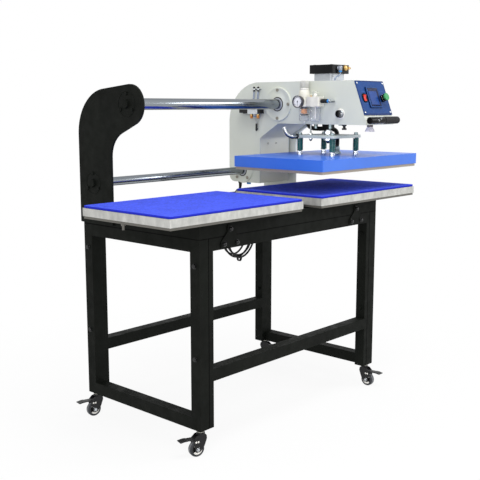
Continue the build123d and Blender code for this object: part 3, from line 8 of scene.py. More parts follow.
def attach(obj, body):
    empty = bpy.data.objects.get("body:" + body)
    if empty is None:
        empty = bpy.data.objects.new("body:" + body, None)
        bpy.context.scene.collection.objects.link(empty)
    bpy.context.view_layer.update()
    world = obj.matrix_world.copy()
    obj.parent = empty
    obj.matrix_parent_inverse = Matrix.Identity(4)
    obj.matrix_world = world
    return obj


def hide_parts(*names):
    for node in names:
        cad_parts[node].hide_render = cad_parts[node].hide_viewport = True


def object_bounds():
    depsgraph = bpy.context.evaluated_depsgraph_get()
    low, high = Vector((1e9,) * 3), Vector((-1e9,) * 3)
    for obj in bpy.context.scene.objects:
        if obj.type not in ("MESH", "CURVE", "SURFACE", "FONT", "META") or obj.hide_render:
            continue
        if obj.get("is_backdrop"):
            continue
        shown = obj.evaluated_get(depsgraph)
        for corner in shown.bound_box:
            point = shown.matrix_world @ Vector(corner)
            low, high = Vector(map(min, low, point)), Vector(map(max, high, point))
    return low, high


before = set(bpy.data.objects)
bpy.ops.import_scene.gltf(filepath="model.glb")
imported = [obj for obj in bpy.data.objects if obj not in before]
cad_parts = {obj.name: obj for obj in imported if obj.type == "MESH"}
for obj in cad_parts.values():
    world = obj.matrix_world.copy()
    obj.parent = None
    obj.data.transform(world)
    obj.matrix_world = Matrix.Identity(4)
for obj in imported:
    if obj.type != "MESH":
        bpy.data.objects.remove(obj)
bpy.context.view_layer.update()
scene = bpy.context.scene

# Lengths are in mm in the stand's coordinates: x from its left face, y from its front face to the back and z
# from the floor. TO_FRAME turns them into the frame's metres. SHAFTS has each shaft's name, y, z and radius.
STAND_LONG = 954.0
STAND_DEEP = 560.0
ORIGIN_Y = 221.5
TO_FRAME = Matrix.Scale(0.001, 4) @ Matrix.Translation((-STAND_LONG / 2, -ORIGIN_Y, 0))

LEG_TOP = 691.0
BASE_TOP = 741.0
PLATEN_TOP = 777.0
PAD_TOP = 785.0
PLATEN_Y = 138.0
LEFT_X = 127.0
RIGHT_X = 827.0
SHAFTS = (("upper", 312.0, 1094.0, 19.0), ("lower", 492.0, 833.0, 15.0))
HEAD_LEFT = 742.0
HEAD_RIGHT = 922.0
HEAD_BOTTOM = 786.0
HEAD_TOP = 1178.0
SPINE_FRONT = 405.0
ARM_BOTTOM = 1021.0
NOSE_TOP_Y = -32.0
NOSE_BOTTOM_Y = -92.0
COVER_TOP = 906.4
CROSS_BOTTOM = 970.0
CROSS_TOP = 981.0
CAP_BOTTOM = 1205.5
CAP_FRONT = 85.5
AIR_X = 711.5
REG_Y = 164.0
LUB_Y = 113.0
REG_BOTTOM = 1086.0
CORD_D = 8.0
ENDS = (-1, 1)


def at(x, y, z):
    return TO_FRAME @ Vector((x, y, z))


def spin(degrees, axis="Z"):
    return Matrix.Rotation(math.radians(degrees), 4, axis)


ALONG_Z = Matrix()
ALONG_X = spin(90, "Y")
ALONG_Y = spin(-90, "X")
TO_LEFT = spin(-90, "Y")
TO_FRONT = spin(90, "X")


def move(x, y, z, turn=ALONG_Z):
    return Matrix.Translation((x, y, z)) @ turn


def show(name, data):
    obj = bpy.data.objects.new(name, data)
    scene.collection.objects.link(obj)
    return obj


# Camera

camera = show("camera", bpy.data.cameras.new("camera"))
camera.location = (-2.2036, -1.9609, 1.0913)
camera.rotation_euler = (math.pi / 2 - 0.1615, 0, -0.8317)
camera.data.lens = 62.17
camera.data.sensor_width = 36
scene.camera = camera


# Materials

def linear(colour, factor=1.0):
    """The shader's colour for an 8-bit one, made darker or lighter by a factor."""
    values = []
    for part in colour:
        part = min(255, part * factor) / 255
        values.append(part / 12.92 if part < 0.04045 else ((part + 0.055) / 1.055) ** 2.4)
    return (*values, 1)


def build_node(tree, kind, sockets, **settings):
    """Adds a node. A socket takes a constant or another node's output."""
    made = tree.nodes.new("ShaderNode" + kind)
    for key, value in settings.items():
        setattr(made, key, value)
    for key, value in sockets.items():
        if isinstance(value, bpy.types.NodeSocket):
            tree.links.new(value, made.inputs[key])
        else:
            made.inputs[key].default_value = value
    return made


class Look:
    """A procedural material. Its slot argument is kept but not used."""

    def __init__(self, name, slot):
        self.slot = slot
        self.material = bpy.data.materials.new(name)
        self.material.use_nodes = True
        self.tree = self.material.node_tree
        self.coords = self.node("TexCoord", {}).outputs["Object"]
        self.normal = None

    def node(self, kind, sockets, **settings):
        return build_node(self.tree, kind, sockets, **settings)

    def noise(self, scale, detail=3.0, stretch=None, roughness=0.5, distortion=0.0):
        place = self.coords
        if stretch:
            place = self.node("Mapping", {"Vector": place, "Scale": stretch}).outputs["Vector"]
        return self.node("TexNoise", {
            "Vector": place, "Scale": scale, "Detail": detail, "Roughness": roughness,
            "Distortion": distortion,
        }).outputs["Fac"]

    def spread(self, value, low, high, start=0.3, end=0.7):
        return self.node("MapRange", {
            "Value": value, "From Min": start, "From Max": end, "To Min": low, "To Max": high,
        }).outputs["Result"]

    def mix(self, factor, first, second):
        return self.node("Mix", {"Factor": factor, 6: first, 7: second}, data_type="RGBA").outputs[2]

    def vary(self, cloud, colour, low, high):
        """A tone between a darker and a lighter form of one colour."""
        return self.mix(self.spread(cloud, 0, 1), linear(colour, low), linear(colour, high))

    def facing(self, axis):
        normal = self.node("NewGeometry", {}).outputs["Normal"]
        return self.node("SeparateXYZ", {"Vector": normal}).outputs[axis]

    def bump(self, height, depth, strength=1.0):
        sockets = {"Height": height, "Distance": depth / 1e6, "Strength": strength}
        if self.normal:
            sockets["Normal"] = self.normal
        self.normal = self.node("Bump", sockets).outputs["Normal"]

    def bevel(self, radius):
        return self.node("Bevel", {"Radius": radius / 1000}, samples=4).outputs["Normal"]

    def edge_wear_and_highlight_spots(self, tone, edge_wear_and_highlight):
        """Spots along the edges in another tone: rubbed-through wear, and on the anodised cap a painted
        highlight along its chamfered edges.
        """
        normal = self.node("NewGeometry", {}).outputs["Normal"]
        facing = self.node("VectorMath", {0: self.bevel(1.2), 1: normal}, operation="DOT_PRODUCT")
        edge = self.spread(facing.outputs["Value"], 1, 0, 0.75, 0.98)
        spots = self.spread(self.noise(140, 4), 0, 0.8, 0.42, 0.7)
        mask = self.node("Math", {0: edge, 1: spots}, operation="MULTIPLY")
        return self.mix(mask.outputs["Value"], tone, linear(edge_wear_and_highlight))

    def done(self, tone, gloss, **constants):
        """Joins the tone, the gloss and the surface to the shader and sets its plain values."""
        shader = self.tree.nodes["Principled BSDF"]
        self.tree.links.new(tone, shader.inputs["Base Color"])
        self.tree.links.new(gloss, shader.inputs["Roughness"])
        self.tree.links.new(self.normal, shader.inputs["Normal"])
        for key, value in constants.items():
            shader.inputs[key.replace("_", " ")].default_value = value
        return self


def paint(name, slot, colour, rough, vary=0.05, scale=9.0, grain=700.0, depth=40, metal=0.0, edges=0.0,
          edge_wear_and_highlight=None, stretch=None, coat=0.0, specular=0.5):
    """A finish with soft colour changes, a fine grain, uneven gloss, rounded edges (mm) and an edge tone,
    which is wear and on the cap a painted highlight.

    The grain's depth is in thousandths of a millimetre."""
    look = Look(name, slot)
    tone = look.vary(look.noise(scale, 4, stretch), colour, 1 - vary, 1 + vary)
    if edge_wear_and_highlight:
        tone = look.edge_wear_and_highlight_spots(tone, edge_wear_and_highlight)
    gloss = look.spread(look.noise(scale * 5, 4, stretch), rough * 0.82, min(1, rough * 1.2))
    if edges:
        look.normal = look.bevel(edges)
    look.bump(look.noise(grain, 2, stretch), depth)
    return look.done(tone, gloss, Metallic=metal, Coat_Weight=coat, Coat_Roughness=0.08,
                     Specular_IOR_Level=specular)


def clear(name, colour, rough, weight, ior, alpha):
    """A see-through plastic with faint moulding waves."""
    look = Look(name, "clear_bowl")
    tone = look.vary(look.noise(40, 3), colour, 1, 0.95)
    gloss = look.spread(look.noise(90, 3), rough, rough * 2.4)
    look.bump(look.noise(160, 2), 50)
    return look.done(tone, gloss, Transmission_Weight=weight, IOR=ior, Alpha=alpha)


def foam(name, slot, colour, side_shade_colour):
    """Blue foam with a felted, mottled skin and painted shade on its sides."""
    look = Look(name, slot)
    tone = look.vary(look.noise(14, 5, None, 0.7, 0.8), colour, 0.9, 1.06)
    blotch = look.spread(look.noise(75, 6, None, 0.75, 1.2), 0, 0.7, 0.4, 0.62)
    tone = look.mix(blotch, tone, linear(colour, 0.7))
    fluff = look.spread(look.noise(240, 4, None, 0.7), 0, 0.6, 0.46, 0.66)
    tone = look.mix(fluff, tone, linear(colour, 1.1))
    # Painted shade: faces that turn away from up take the darker side colour.
    tone = look.mix(look.spread(look.facing("Z"), 1, 0, 0.3, 0.85), tone, linear(side_shade_colour))
    gloss = look.spread(look.noise(220, 3), 0.72, 0.92)
    look.bump(look.noise(260, 6, None, 0.7), 500, 0.8)
    look.bump(look.noise(1500, 2), 120, 0.6)
    return look.done(tone, gloss, Specular_IOR_Level=0.06)


def brushed(name, slot, colour, rough, stretch, vary=0.08, metal=1.0, depth=30, edges=0.4, crown=None):
    """Bare metal with fine machining lines that run along the axis left short in stretch."""
    look = Look(name, slot)
    lines = look.noise(1.0, 6, tuple(part * 900 for part in stretch), 0.7)
    tone = look.vary(lines, colour, 1 - vary, 1 + vary)
    tone = look.mix(look.spread(look.noise(12, 4), 0, 0.35), tone, linear(colour, 0.88))
    # Painted reflection: upward faces blend into the crown tone.
    if crown:
        tone = look.mix(look.spread(look.facing("Z"), 0, 1, 0.55, 0.97), tone, linear(crown))
    gloss = look.spread(lines, rough * 0.75, rough * 1.25)
    if edges:
        look.normal = look.bevel(edges)
    look.bump(lines, depth)
    return look.done(tone, gloss, Metallic=metal)


def studio_reflection_plating(name, colour, rough, dark):
    """Bright plating with painted reflections: its lower and side faces darken towards a dark tone, as if
    they mirrored dark surroundings.
    """
    look = Look(name, "zinc_steel")
    tone = look.vary(look.noise(90, 4), colour, 0.95, 1.04)
    # Painted reflection: downward faces and faces along x blend into the dark tone.
    tone = look.mix(look.spread(look.facing("Z"), 1, 0, -0.5, 0.1), tone, linear(dark))
    tone = look.mix(look.spread(look.facing("X"), 0, 0.75, 0.1, 0.75), tone, linear(dark, 1.5))
    gloss = look.spread(look.noise(400, 4), rough * 0.8, rough * 1.25)
    look.normal = look.bevel(0.4)
    look.bump(look.noise(500, 2), 10)
    return look.done(tone, gloss, Metallic=0.88)


BLACK = paint("black_powder_coat", "black_paint", (18, 20, 17), 0.6, 0.14, 7, 900, 60, edges=1.5,
              edge_wear_and_highlight=(48, 49, 46), specular=0.07)
BLACK_BOLT = paint("black_oxide", "black_paint", (4, 4, 5), 0.16, 0.15, 60, depth=20, edges=0.4,
                   edge_wear_and_highlight=(70, 70, 70), specular=0.4)
SEAM = paint("seam_shadow", "black_paint", (3, 3, 3), 0.8, 0.1, 60, depth=20, specular=0.05)
# The chrome's darker crown tone on upward faces is a painted reflection.
CHROME = brushed("chrome", "chrome", (146, 152, 158), 0.14, (0.02, 1, 1), vary=0.03, depth=4, edges=0,
                 crown=(98, 104, 110))
CHROME_SMALL = studio_reflection_plating("bright_chrome", (210, 214, 218), 0.18, (52, 64, 72))
DULL_CHROME = studio_reflection_plating("dull_chrome", (128, 142, 146), 0.3, (24, 36, 40))
ZINC = paint("zinc_plate", "zinc_steel", (168, 168, 160), 0.34, 0.1, 120, depth=20, metal=0.7, edges=0.4)
SCREW = paint("screw_steel", "zinc_steel", (150, 146, 134), 0.42, 0.12, 160, depth=20, metal=0.5)
ALUMINIUM = paint("cast_aluminium", "platen_aluminium", (184, 184, 180), 0.48, 0.08, 42, 900, 60, metal=0.5,
                  edges=1.4, edge_wear_and_highlight=(226, 226, 224), stretch=(1, 1, 0.6))
BACKING = brushed("backing_steel", "backing_steel", (100, 98, 92), 0.5, (0.04, 0.04, 1), metal=0.3, vary=0.12)
PAD = foam("silicone_foam", "blue_pad", (74, 94, 236), (38, 48, 180))
HEAD = paint("head_enamel", "head_paint", (204, 208, 199), 0.4, 0.018, 5, 600, 30, edges=1.2,
             edge_wear_and_highlight=(196, 198, 190), coat=0.05, specular=0.35)
# The right guide plate's own grey, lifted paler than the head's enamel: painted light in the narrow shaded
# slot beside the head.
PLATE_ENAMEL_PAINTED_LIGHT = paint("plate_enamel_painted_light", "head_paint", (246, 249, 243), 0.4, 0.018, 5, 600, 30, edges=1.2,
                   specular=0.35)
THROAT = paint("grey_enamel", "throat_paint", (221, 221, 206), 0.45, 0.03, 6, 600, 30, edges=1, specular=0.3)
COVER = paint("blue_enamel", "cover_blue", (48, 107, 212), 0.42, 0.025, 5, 500, 20, edges=1.4, coat=0.08)
PANEL = paint("panel_blue", "panel_blue", (22, 62, 122), 0.5, 0.05, 30, 900, 20, edges=0.6, specular=0.15)
# Navy for the screen bezel's side walls and its well: painted shade.
PANEL_PAINTED_SHADE = paint("panel_navy_painted_shade", "panel_blue", (8, 22, 60), 0.4, 0.08, 40, depth=10, specular=0.15)
PANEL_EDGE = paint("panel_edge_blue", "panel_blue", (14, 44, 98), 0.5, 0.05, 40, specular=0.15)
# Light blue: printed fine lines on the panel, and painted highlights along the screen bezel's edges.
PANEL_PRINT_AND_HIGHLIGHT = paint("panel_print_and_highlight_line", "panel_blue", (64, 108, 172), 0.45, 0.05, 60, specular=0.2)
DISPLAY = paint("display_glass", "panel_blue", (26, 62, 130), 0.24, 0.06, 24, depth=4, specular=0.2,
                coat=0.05)
PLASTIC = paint("black_moulding", "black_plastic", (20, 20, 22), 0.36, 0.12, 70, 1500, 20, edges=0.5,
                specular=0.3)
GLOSS = paint("black_gloss", "black_plastic", (7, 7, 8), 0.22, 0.12, 60, depth=10, specular=0.1)
GRIP = paint("black_grip_rubber", "black_plastic", (44, 44, 46), 0.72, 0.12, 60, 1600, 80, specular=0.15)
CABLE = paint("cable_jacket", "cable_black", (20, 20, 22), 0.5, 0.12, 60, 1400, 30, specular=0.25)
DARK_GREY = paint("grey_lever_plastic", "black_plastic", (30, 31, 32), 0.42, 0.1, 70, 1500, 30, edges=0.6,
                  specular=0.3)
SOCKET_GREY = paint("grey_socket", "black_plastic", (104, 98, 100), 0.45, 0.12, 110, 1500, 30, specular=0.3)
ELBOW_GREY = paint("elbow_moulding", "black_plastic", (150, 156, 168), 0.22, 0.1, 90, depth=10)
WHITE = paint("white_moulding", "cream_body", (236, 234, 228), 0.4, 0.04, 80, depth=20)
CREAM = paint("cream_body", "cream_body", (224, 222, 211), 0.4, 0.04, 50, 1300, 30, edges=0.8)
KNOB_GREY = paint("grey_knob", "cream_body", (188, 188, 182), 0.45, 0.06, 60, 1400, 30)
BOWL = clear("clear_bowl", (252, 253, 254), 0.05, 0.8, 1.18, 0.3)
TUBE = clear("clear_tube", (158, 170, 192), 0.12, 0.3, 1.2, 0.86)
LENS = clear("gauge_glass", (252, 253, 253), 0.03, 0.98, 1.05, 0.3)
LAMP = clear("lamp_diffuser", (238, 236, 248), 0.42, 0.3, 1.2, 1.0)
TYRE = paint("grey_tyre", "wheel_rubber", (50, 52, 56), 0.45, 0.14, 80, 1200, 50, specular=0.3)
TREAD = paint("tyre_tread", "wheel_rubber", (104, 106, 110), 0.55, 0.12, 80, 1200, 50)
BRASS = paint("brass", "brass", (190, 156, 98), 0.3, 0.1, 120, depth=20, metal=0.75, edges=0.3)
BRONZE = paint("sintered_bronze", "brass", (206, 138, 72), 0.62, 0.22, 420, 1600, 200, metal=0.4)
BLUE_RING = paint("fitting_blue", "panel_blue", (58, 138, 206), 0.4, 0.06, 90, specular=0.3)
ORANGE = paint("filter_orange", "red_rocker", (232, 150, 86), 0.6, 0.12, 150, 1200, 100)
RED = paint("red_rocker", "red_rocker", (206, 38, 32), 0.36, 0.06, 80, specular=0.25)
GREEN_CAP = paint("green_cap", "green_cap", (54, 146, 88), 0.36, 0.06, 80, specular=0.3)
SPRING = paint("spring_enamel", "spring_green", (18, 92, 84), 0.2, 0.16, 110, depth=30, specular=0.9)
DIAL = paint("dial_face", "cream_body", (244, 244, 246), 0.5, 0.02, 60)
DIAL_INK = paint("dial_ink", "needle_black", (52, 50, 58), 0.5, 0.1, 90)
GAUGE_RIM = paint("gauge_bezel", "gauge_chrome", (84, 84, 92), 0.24, 0.08, 90, depth=10, metal=0.85)
CYLINDER = brushed("cylinder_aluminium", "cylinder_aluminium", (184, 188, 195), 0.45, (1, 1, 0.02), vary=0.05,
                   metal=0.3)
# The cap's pale edge tone is a painted highlight along its chamfered edges.
CAP = paint("cap_anodised", "cap_black", (12, 12, 14), 0.4, 0.12, 60, depth=20, edges=1.2,
            edge_wear_and_highlight=(150, 152, 158), specular=0.15)
HEATER = brushed("heater_plate", "platen_aluminium", (158, 148, 138), 0.46, (0.03, 0.03, 1), metal=0.4,
                 vary=0.1, edges=0.8)
CROSS = paint("plate_enamel", "head_paint", (196, 204, 197), 0.4, 0.04, 20, 700, 30, edges=1, specular=0.3)


# Making pieces

def shown(obj, body, look, replaces):
    """Gives an object its finish, rides it on its body and hides the CAD nodes that it stands for."""
    obj.data.materials.append(look.material)
    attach(obj, body)
    if replaces:
        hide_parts(*replaces.split())
    return obj


def piece(name, bm, look, place=ALONG_Z, body="head", replaces="", bevel=0.0, segments=2, angle=34):
    """Makes one object from a bmesh in mm."""
    bmesh.ops.recalc_face_normals(bm, faces=bm.faces)
    bm.transform(TO_FRAME @ place)
    mesh = bpy.data.meshes.new(name)
    bm.to_mesh(mesh)
    bm.free()
    obj = show(name, mesh)
    for polygon in mesh.polygons:
        polygon.use_smooth = True
    mesh.set_sharp_from_angle(angle=math.radians(angle))
    if bevel:
        made = obj.modifiers.new("bevel", "BEVEL")
        made.width = bevel / 1000
        made.segments = segments
        made.limit_method = "ANGLE"
        made.angle_limit = math.radians(30)
        made.harden_normals = True
    return shown(obj, body, look, replaces)


def join(parts):
    """One bmesh from several."""
    bm = bmesh.new()
    for part in parts:
        mesh = bpy.data.meshes.new("join")
        part.to_mesh(mesh)
        part.free()
        bm.from_mesh(mesh)
        bpy.data.meshes.remove(mesh)
    return bm


def circle(count, radius=1.0):
    turns = [2 * math.pi * i / count for i in range(count)]
    return [(radius * math.cos(turn), radius * math.sin(turn)) for turn in turns]


def skin(rings, closed=False):
    """A body from rings of points: it has a face at each end, or closes on itself."""
    bm = bmesh.new()
    rings = [[bm.verts.new(point) for point in points] for points in rings]
    for a, b in zip(rings, rings[1:] + (rings[:1] if closed else [])):
        for i in range(len(a)):
            j = (i + 1) % len(a)
            bm.faces.new((a[i], a[j], b[j], b[i]))
    if not closed:
        bm.faces.new(rings[0][::-1])
        bm.faces.new(rings[-1])
    return bm


def lathe(profile, count=48, place=ALONG_Z):
    """A closed body of revolution about z from its outline of (radius, height) points."""
    bm = bmesh.new()
    closed = profile[0] == profile[-1]
    rings = [
        [bm.verts.new((x, y, height)) for x, y in (circle(count, radius) if radius else [(0, 0)])]
        for radius, height in (profile[:-1] if closed else profile)
    ]
    for a, b in zip(rings, rings[1:] + (rings[:1] if closed else [])):
        for i in range(count):
            j = (i + 1) % count
            corners = dict.fromkeys((a[i % len(a)], a[j % len(a)], b[j % len(b)], b[i % len(b)]))
            if len(corners) > 2:
                bm.faces.new(tuple(corners))
    for end in (rings[0], rings[-1]):
        if len(end) > 1 and not closed:
            bm.faces.new(end)
    bm.transform(place)
    return bm


def rod(radius, z0, z1, round_by=0.0, count=32, place=ALONG_Z):
    """A rod along z with rounded rims."""
    turns = [math.pi / 8 * i for i in range(5)]
    rim = [(radius - round_by * (1 - math.sin(turn)), round_by * (1 - math.cos(turn))) for turn in turns]
    if not round_by:
        rim = [(radius, 0)]
    low = [(0, z0)] + [(r, z0 + z) for r, z in rim]
    return lathe(low + [(r, z1 - z) for r, z in rim[::-1]] + [(0, z1)], count, place)


def ring(inner, outer, z0, z1, round_by=0.0, count=48, place=ALONG_Z):
    """A flat ring or a sleeve along z with rounded rims."""
    cut = [(round_by, 0), (0.3 * round_by, 0.3 * round_by), (0, round_by)] if round_by else [(0, 0)]
    outside = [(outer - x, z0 + z) for x, z in cut] + [(outer - x, z1 - z) for x, z in cut[::-1]]
    inside = [(inner + x, z1 - z) for x, z in cut] + [(inner + x, z0 + z) for x, z in cut[::-1]]
    return lathe(outside + inside + outside[:1], count, place)


def stepped(*plans, place=ALONG_Z):
    """A closed body from plans with as many points each, given as (points, height)."""
    bm = skin([(x, y, z) for x, y in points] for points, z in plans)
    bm.transform(place)
    return bm


def prism(points, z0, z1, place=ALONG_Z):
    return stepped((points, z0), (points, z1), place=place)


def rounded(width, depth, radius, steps=6, x=0.0, y=0.0):
    """A rectangle's plan with round corners."""
    points = []
    for corner, (i, j) in enumerate(((1, 1), (-1, 1), (-1, -1), (1, -1))):
        for step in range(steps + 1):
            turn = math.pi / 2 * (corner + step / steps)
            points.append((
                x + i * (width / 2 - radius) + radius * math.cos(turn),
                y + j * (depth / 2 - radius) + radius * math.sin(turn),
            ))
    return points


def block(x0, x1, y0, y1, z0, z1, place=ALONG_Z):
    return prism([(x0, y0), (x1, y0), (x1, y1), (x0, y1)], z0, z1, place)


def hexagon(flats, z0, z1, place=ALONG_Z):
    """A hexagonal nut or head with its corners turned off."""
    bm = prism(circle(6, flats / math.sqrt(3)), z0, z1)
    bmesh.ops.bevel(bm, geom=bm.verts[:], offset=flats * 0.09, segments=1, affect="VERTICES")
    bm.transform(place)
    return bm


def socket_screw(radius, height, place):
    """A cap screw's head with its hexagon socket, standing on z = 0."""
    return lathe([
        (0, 0), (radius - 0.2, 0), (radius, 0.3), (radius, height - 0.5), (radius - 0.5, height),
        (radius * 0.55, height), (radius * 0.5, height - 0.2), (radius * 0.5, height * 0.45),
        (0, height * 0.4),
    ], 28, place)


def ribs(count, reach, radius, z0, z1, round_by, sides=10):
    """Upright ribs evenly around a round body."""
    return join(rod(radius, z0, z1, round_by, sides, move(x, y, 0)) for x, y in circle(count, reach))


def arc(section, start, sweep, steps):
    """A section of (radius, height) points swept about z through an angle in degrees."""
    turns = [math.radians(start + sweep * i / steps) for i in range(steps + 1)]
    return skin([[(r * math.cos(turn), r * math.sin(turn), z) for r, z in section] for turn in turns])


def nurbs(name, points, resolution):
    data = bpy.data.curves.new(name, "CURVE")
    data.dimensions = "3D"
    spline = data.splines.new("NURBS")
    spline.points.add(len(points) - 1)
    for target, point in zip(spline.points, points):
        target.co = (*point, 1)
    spline.order_u = 3
    spline.use_endpoint_u = True
    spline.resolution_u = resolution
    return data


def curve_object(name, points, radius, look, body="head", replaces="", resolution=6):
    """A round NURBS tube through its control points, in mm."""
    data = nurbs(name, [at(*point) for point in points], resolution)
    data.bevel_depth = radius / 1000
    data.bevel_resolution = 5
    data.use_fill_caps = True
    return shown(show(name, data), body, look, replaces)


def centreline(points, resolution):
    """Points in mm read from the smooth NURBS line of a route."""
    data = nurbs("route", points, resolution)
    obj = bpy.data.objects.new("route", data)
    mesh = bpy.data.meshes.new_from_object(obj)
    line = [vertex.co.copy() for vertex in mesh.vertices]
    bpy.data.objects.remove(obj)
    bpy.data.curves.remove(data)
    bpy.data.meshes.remove(mesh)
    return line


def line_length(line):
    return sum((second - first).length for first, second in zip(line, line[1:]))


def along(line, distance):
    """The point and the direction at a distance along a line of points."""
    for first, second in zip(line, line[1:]):
        step = (second - first).length
        if distance <= step or second is line[-1]:
            return first.lerp(second, distance / step), (second - first).normalized()
        distance -= step


def tube(line, stations, count=20):
    """A tube with its radius given at distances along a line: stations is a list of (distance, radius)."""
    rings = []
    side = along(line, 0)[1].orthogonal().normalized()
    for distance, radius in stations:
        point, way = along(line, distance)
        side = (side - way * side.dot(way)).normalized()
        up = way.cross(side)
        rings.append([point + side * x + up * y for x, y in circle(count, radius)])
    return skin(rings)


# Mains cord: from the gland under the head over the back rail into a loose hank behind the frame

HANK_X = 836.0
HANK_Y = 588.0
HANK_Z = 579.0
HANK_HALF_WIDTH = 92.0
HANK_HALF_HEIGHT = 130.0
HANK_PITCH = 9.6
HANK_TURNS = 3.5
HANK_POINTS = 14
PLUG_OUT = 24.0
PLUG_RELIEF = 24.0
TIE_WALL = 1.6
TIE_HALF_WIDTH = 6


def hank_point(turn):
    outward = min(max(turn / math.pi - 2 * HANK_TURNS + 1, 0), 1)
    half_width = HANK_HALF_WIDTH + 9 * math.sin(turn / 2.7) ** 2
    half_height = HANK_HALF_HEIGHT - 12 * math.sin(turn / 4.1) ** 2
    return Vector((
        HANK_X - half_width * math.cos(turn),
        HANK_Y + HANK_PITCH * turn / (2 * math.pi) + PLUG_OUT * outward ** 2 * (3 - 2 * outward),
        HANK_Z - half_height * math.sin(turn),
    ))


def hank_way(turn):
    step = 0.0005
    return (hank_point(turn + step) - hank_point(turn - step)).normalized()


def tie_band(first, last):
    """A band around the strands between two points of the hank."""
    middle = (first + last) / 2
    half = (last - first).length / 2 + CORD_D / 2 + 1.4
    height = max(abs(first.z - middle.z), 6) + CORD_D / 2 + 1.4
    outer = [(half * x, height * y) for x, y in circle(40)]
    inner = [(x * (1 - TIE_WALL / half), y * (1 - TIE_WALL / height)) for x, y in outer]
    band = skin([
        [(x, y, z) for x, y in points] for points, z in
        ((outer, -TIE_HALF_WIDTH), (outer, TIE_HALF_WIDTH), (inner, TIE_HALF_WIDTH), (inner, -TIE_HALF_WIDTH))
    ], closed=True)
    band.transform(move(*middle, ALONG_Y @ spin(90)))
    return band


cord_x = HEAD_LEFT + 12.5
cord_y = 520.0
cord_start = HEAD_BOTTOM - 10
over = BASE_TOP + CORD_D / 2 + 3.6
hank_end = 2 * math.pi * HANK_TURNS
hank_in = hank_point(0) - hank_way(0) * CORD_D
hank_steps = round(HANK_TURNS * HANK_POINTS)
route = (
    (0, 0, cord_start), (0, 0, cord_start - 11), (2, 5.5, cord_start - 21.5), (8.5, 16, over),
    (21, 34, over + 0.4), (29, 47, over - 5), (29.5, 56.5, over - 18), (20, 62.5, over - 43),
    (4, 66, over - 76),
)
cord_points = [(cord_x + x, cord_y + y, z) for x, y, z in route]
cord_points += [tuple(hank_in - hank_way(0) * 43), tuple(hank_in)]
cord_points += [tuple(hank_point(hank_end * i / hank_steps)) for i in range(hank_steps + 1)]
plug_way = hank_way(hank_end)
plug_foot = hank_point(hank_end) + plug_way * CORD_D
cord_points.append(tuple(plug_foot))
cord = curve_object("mains_cord", cord_points, CORD_D / 2, CABLE, replaces="power_cord cord_hank",
                    resolution=8)
cord_line = centreline(cord_points, 8)

plug_at = Matrix.Translation(plug_foot) @ plug_way.to_track_quat("Z", "Y").to_matrix().to_4x4()
grooves = [(4.8 + 3.2 * i / 10 + 0.5 * (i % 2), PLUG_RELIEF * i / 10) for i in range(1, 11)]
sleeve = lathe([(0, 0), (4.8, 0)] + grooves + [(0, PLUG_RELIEF)], 32)
plug_relief = piece("plug_strain_relief", sleeve, CABLE, plug_at)
plug = piece("plug_body", prism(rounded(36, 30, 12, 8), PLUG_RELIEF - 0.5, PLUG_RELIEF + 34), CABLE, plug_at,
             replaces="mains_plug", bevel=3, segments=4)
pins = join(rod(2.4, PLUG_RELIEF + 33.5, PLUG_RELIEF + 53, 0.8, 20, move(side * 9.5, 0, 0)) for side in ENDS)
plug_pins = piece("plug_pins", pins, CHROME_SMALL, plug_at)
stations = [(0.2, 6.4), (3, 6.4)]
for i in range(8):
    spot = 4 + 2.6 * i
    radius = 6.3 - 1.7 * i / 7
    stations += [(spot, radius), (spot + 1.5, radius), (spot + 1.7, radius - 0.6), (spot + 2.5, radius - 0.7)]
stations.append((25.2, 4.4))
head_relief = piece("cord_strain_relief", tube(cord_line, stations, 28), CABLE, angle=50)
bands = join(tie_band(hank_point(math.pi * turn), hank_point(math.pi * (turn + 4))) for turn in (0.5, 1.5))
cord_tie = piece("cord_tie", bands, GRIP, bevel=0.4)


# The casters' corners: x, y and each one's turn in degrees

CORNERS = {"fl": (20, 20, 162), "bl": (20, 540, 170), "fr": (934, 20, 270), "br": (934, 540, 290)}


# Finishes of the CAD nodes that keep their own shape

for look, names in (
    (BLACK, "end_frame_left end_frame_right front_frame back_frame base_frame"),
    (BLACK, "guide_plate_left joint_plates_and_bolts"),
    (PLATE_ENAMEL_PAINTED_LIGHT, "guide_plate_right"),
    (PLASTIC, " ".join(f"caster_housing_{corner}" for corner in CORNERS)),
    (DARK_GREY, " ".join(f"caster_brake_{corner}" for corner in CORNERS)),
    (ZINC, "caster_stems spring_bolts"),
    (BACKING, "platen_backings"),
    (ALUMINIUM, "lower_platen_left lower_platen_right"),
    (HEAD, "head_side_left head_side_right head_top_cover arm_floor"),
    (THROAT, "throat_cover"),
    (CYLINDER, "cylinder_barrel"),
    (COVER, "heater_cover"),
    (HEATER, "heat_platen"),
    (DIAL_INK, "gauge_needle"),
):
    for name in names.split():
        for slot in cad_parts[name].material_slots:
            slot.link = "OBJECT"
            slot.material = look.material


# Foam pads on the lower platens

for side, x in (("left", LEFT_X), ("right", RIGHT_X)):
    sheet = prism(rounded(596, 396, 9, 6), PLATEN_TOP + 0.05, PAD_TOP)
    pad = piece(f"foam_pad_{side}", sheet, PAD, move(x, PLATEN_Y, 0), "stand", f"platen_pad_{side}", 2.2, 4)


# Guide shafts with their end flanges

for label, y, z, radius in SHAFTS:
    place = move(0, y, z, ALONG_X)
    piece(f"guide_shaft_{label}", rod(radius, 0, STAND_LONG, 0.8, 96), CHROME, place, "stand",
          "guide_shafts" if label == "upper" else "")
    ends = join(ring(radius + 0.05, 43, z0 + 0.05, z0 + 13.95, 1.2, 72) for z0 in (0, STAND_LONG - 14))
    piece(f"shaft_flanges_{label}", ends, BLACK, place, "stand")


# Casters: wheels, hub rings, axle heads and rivets

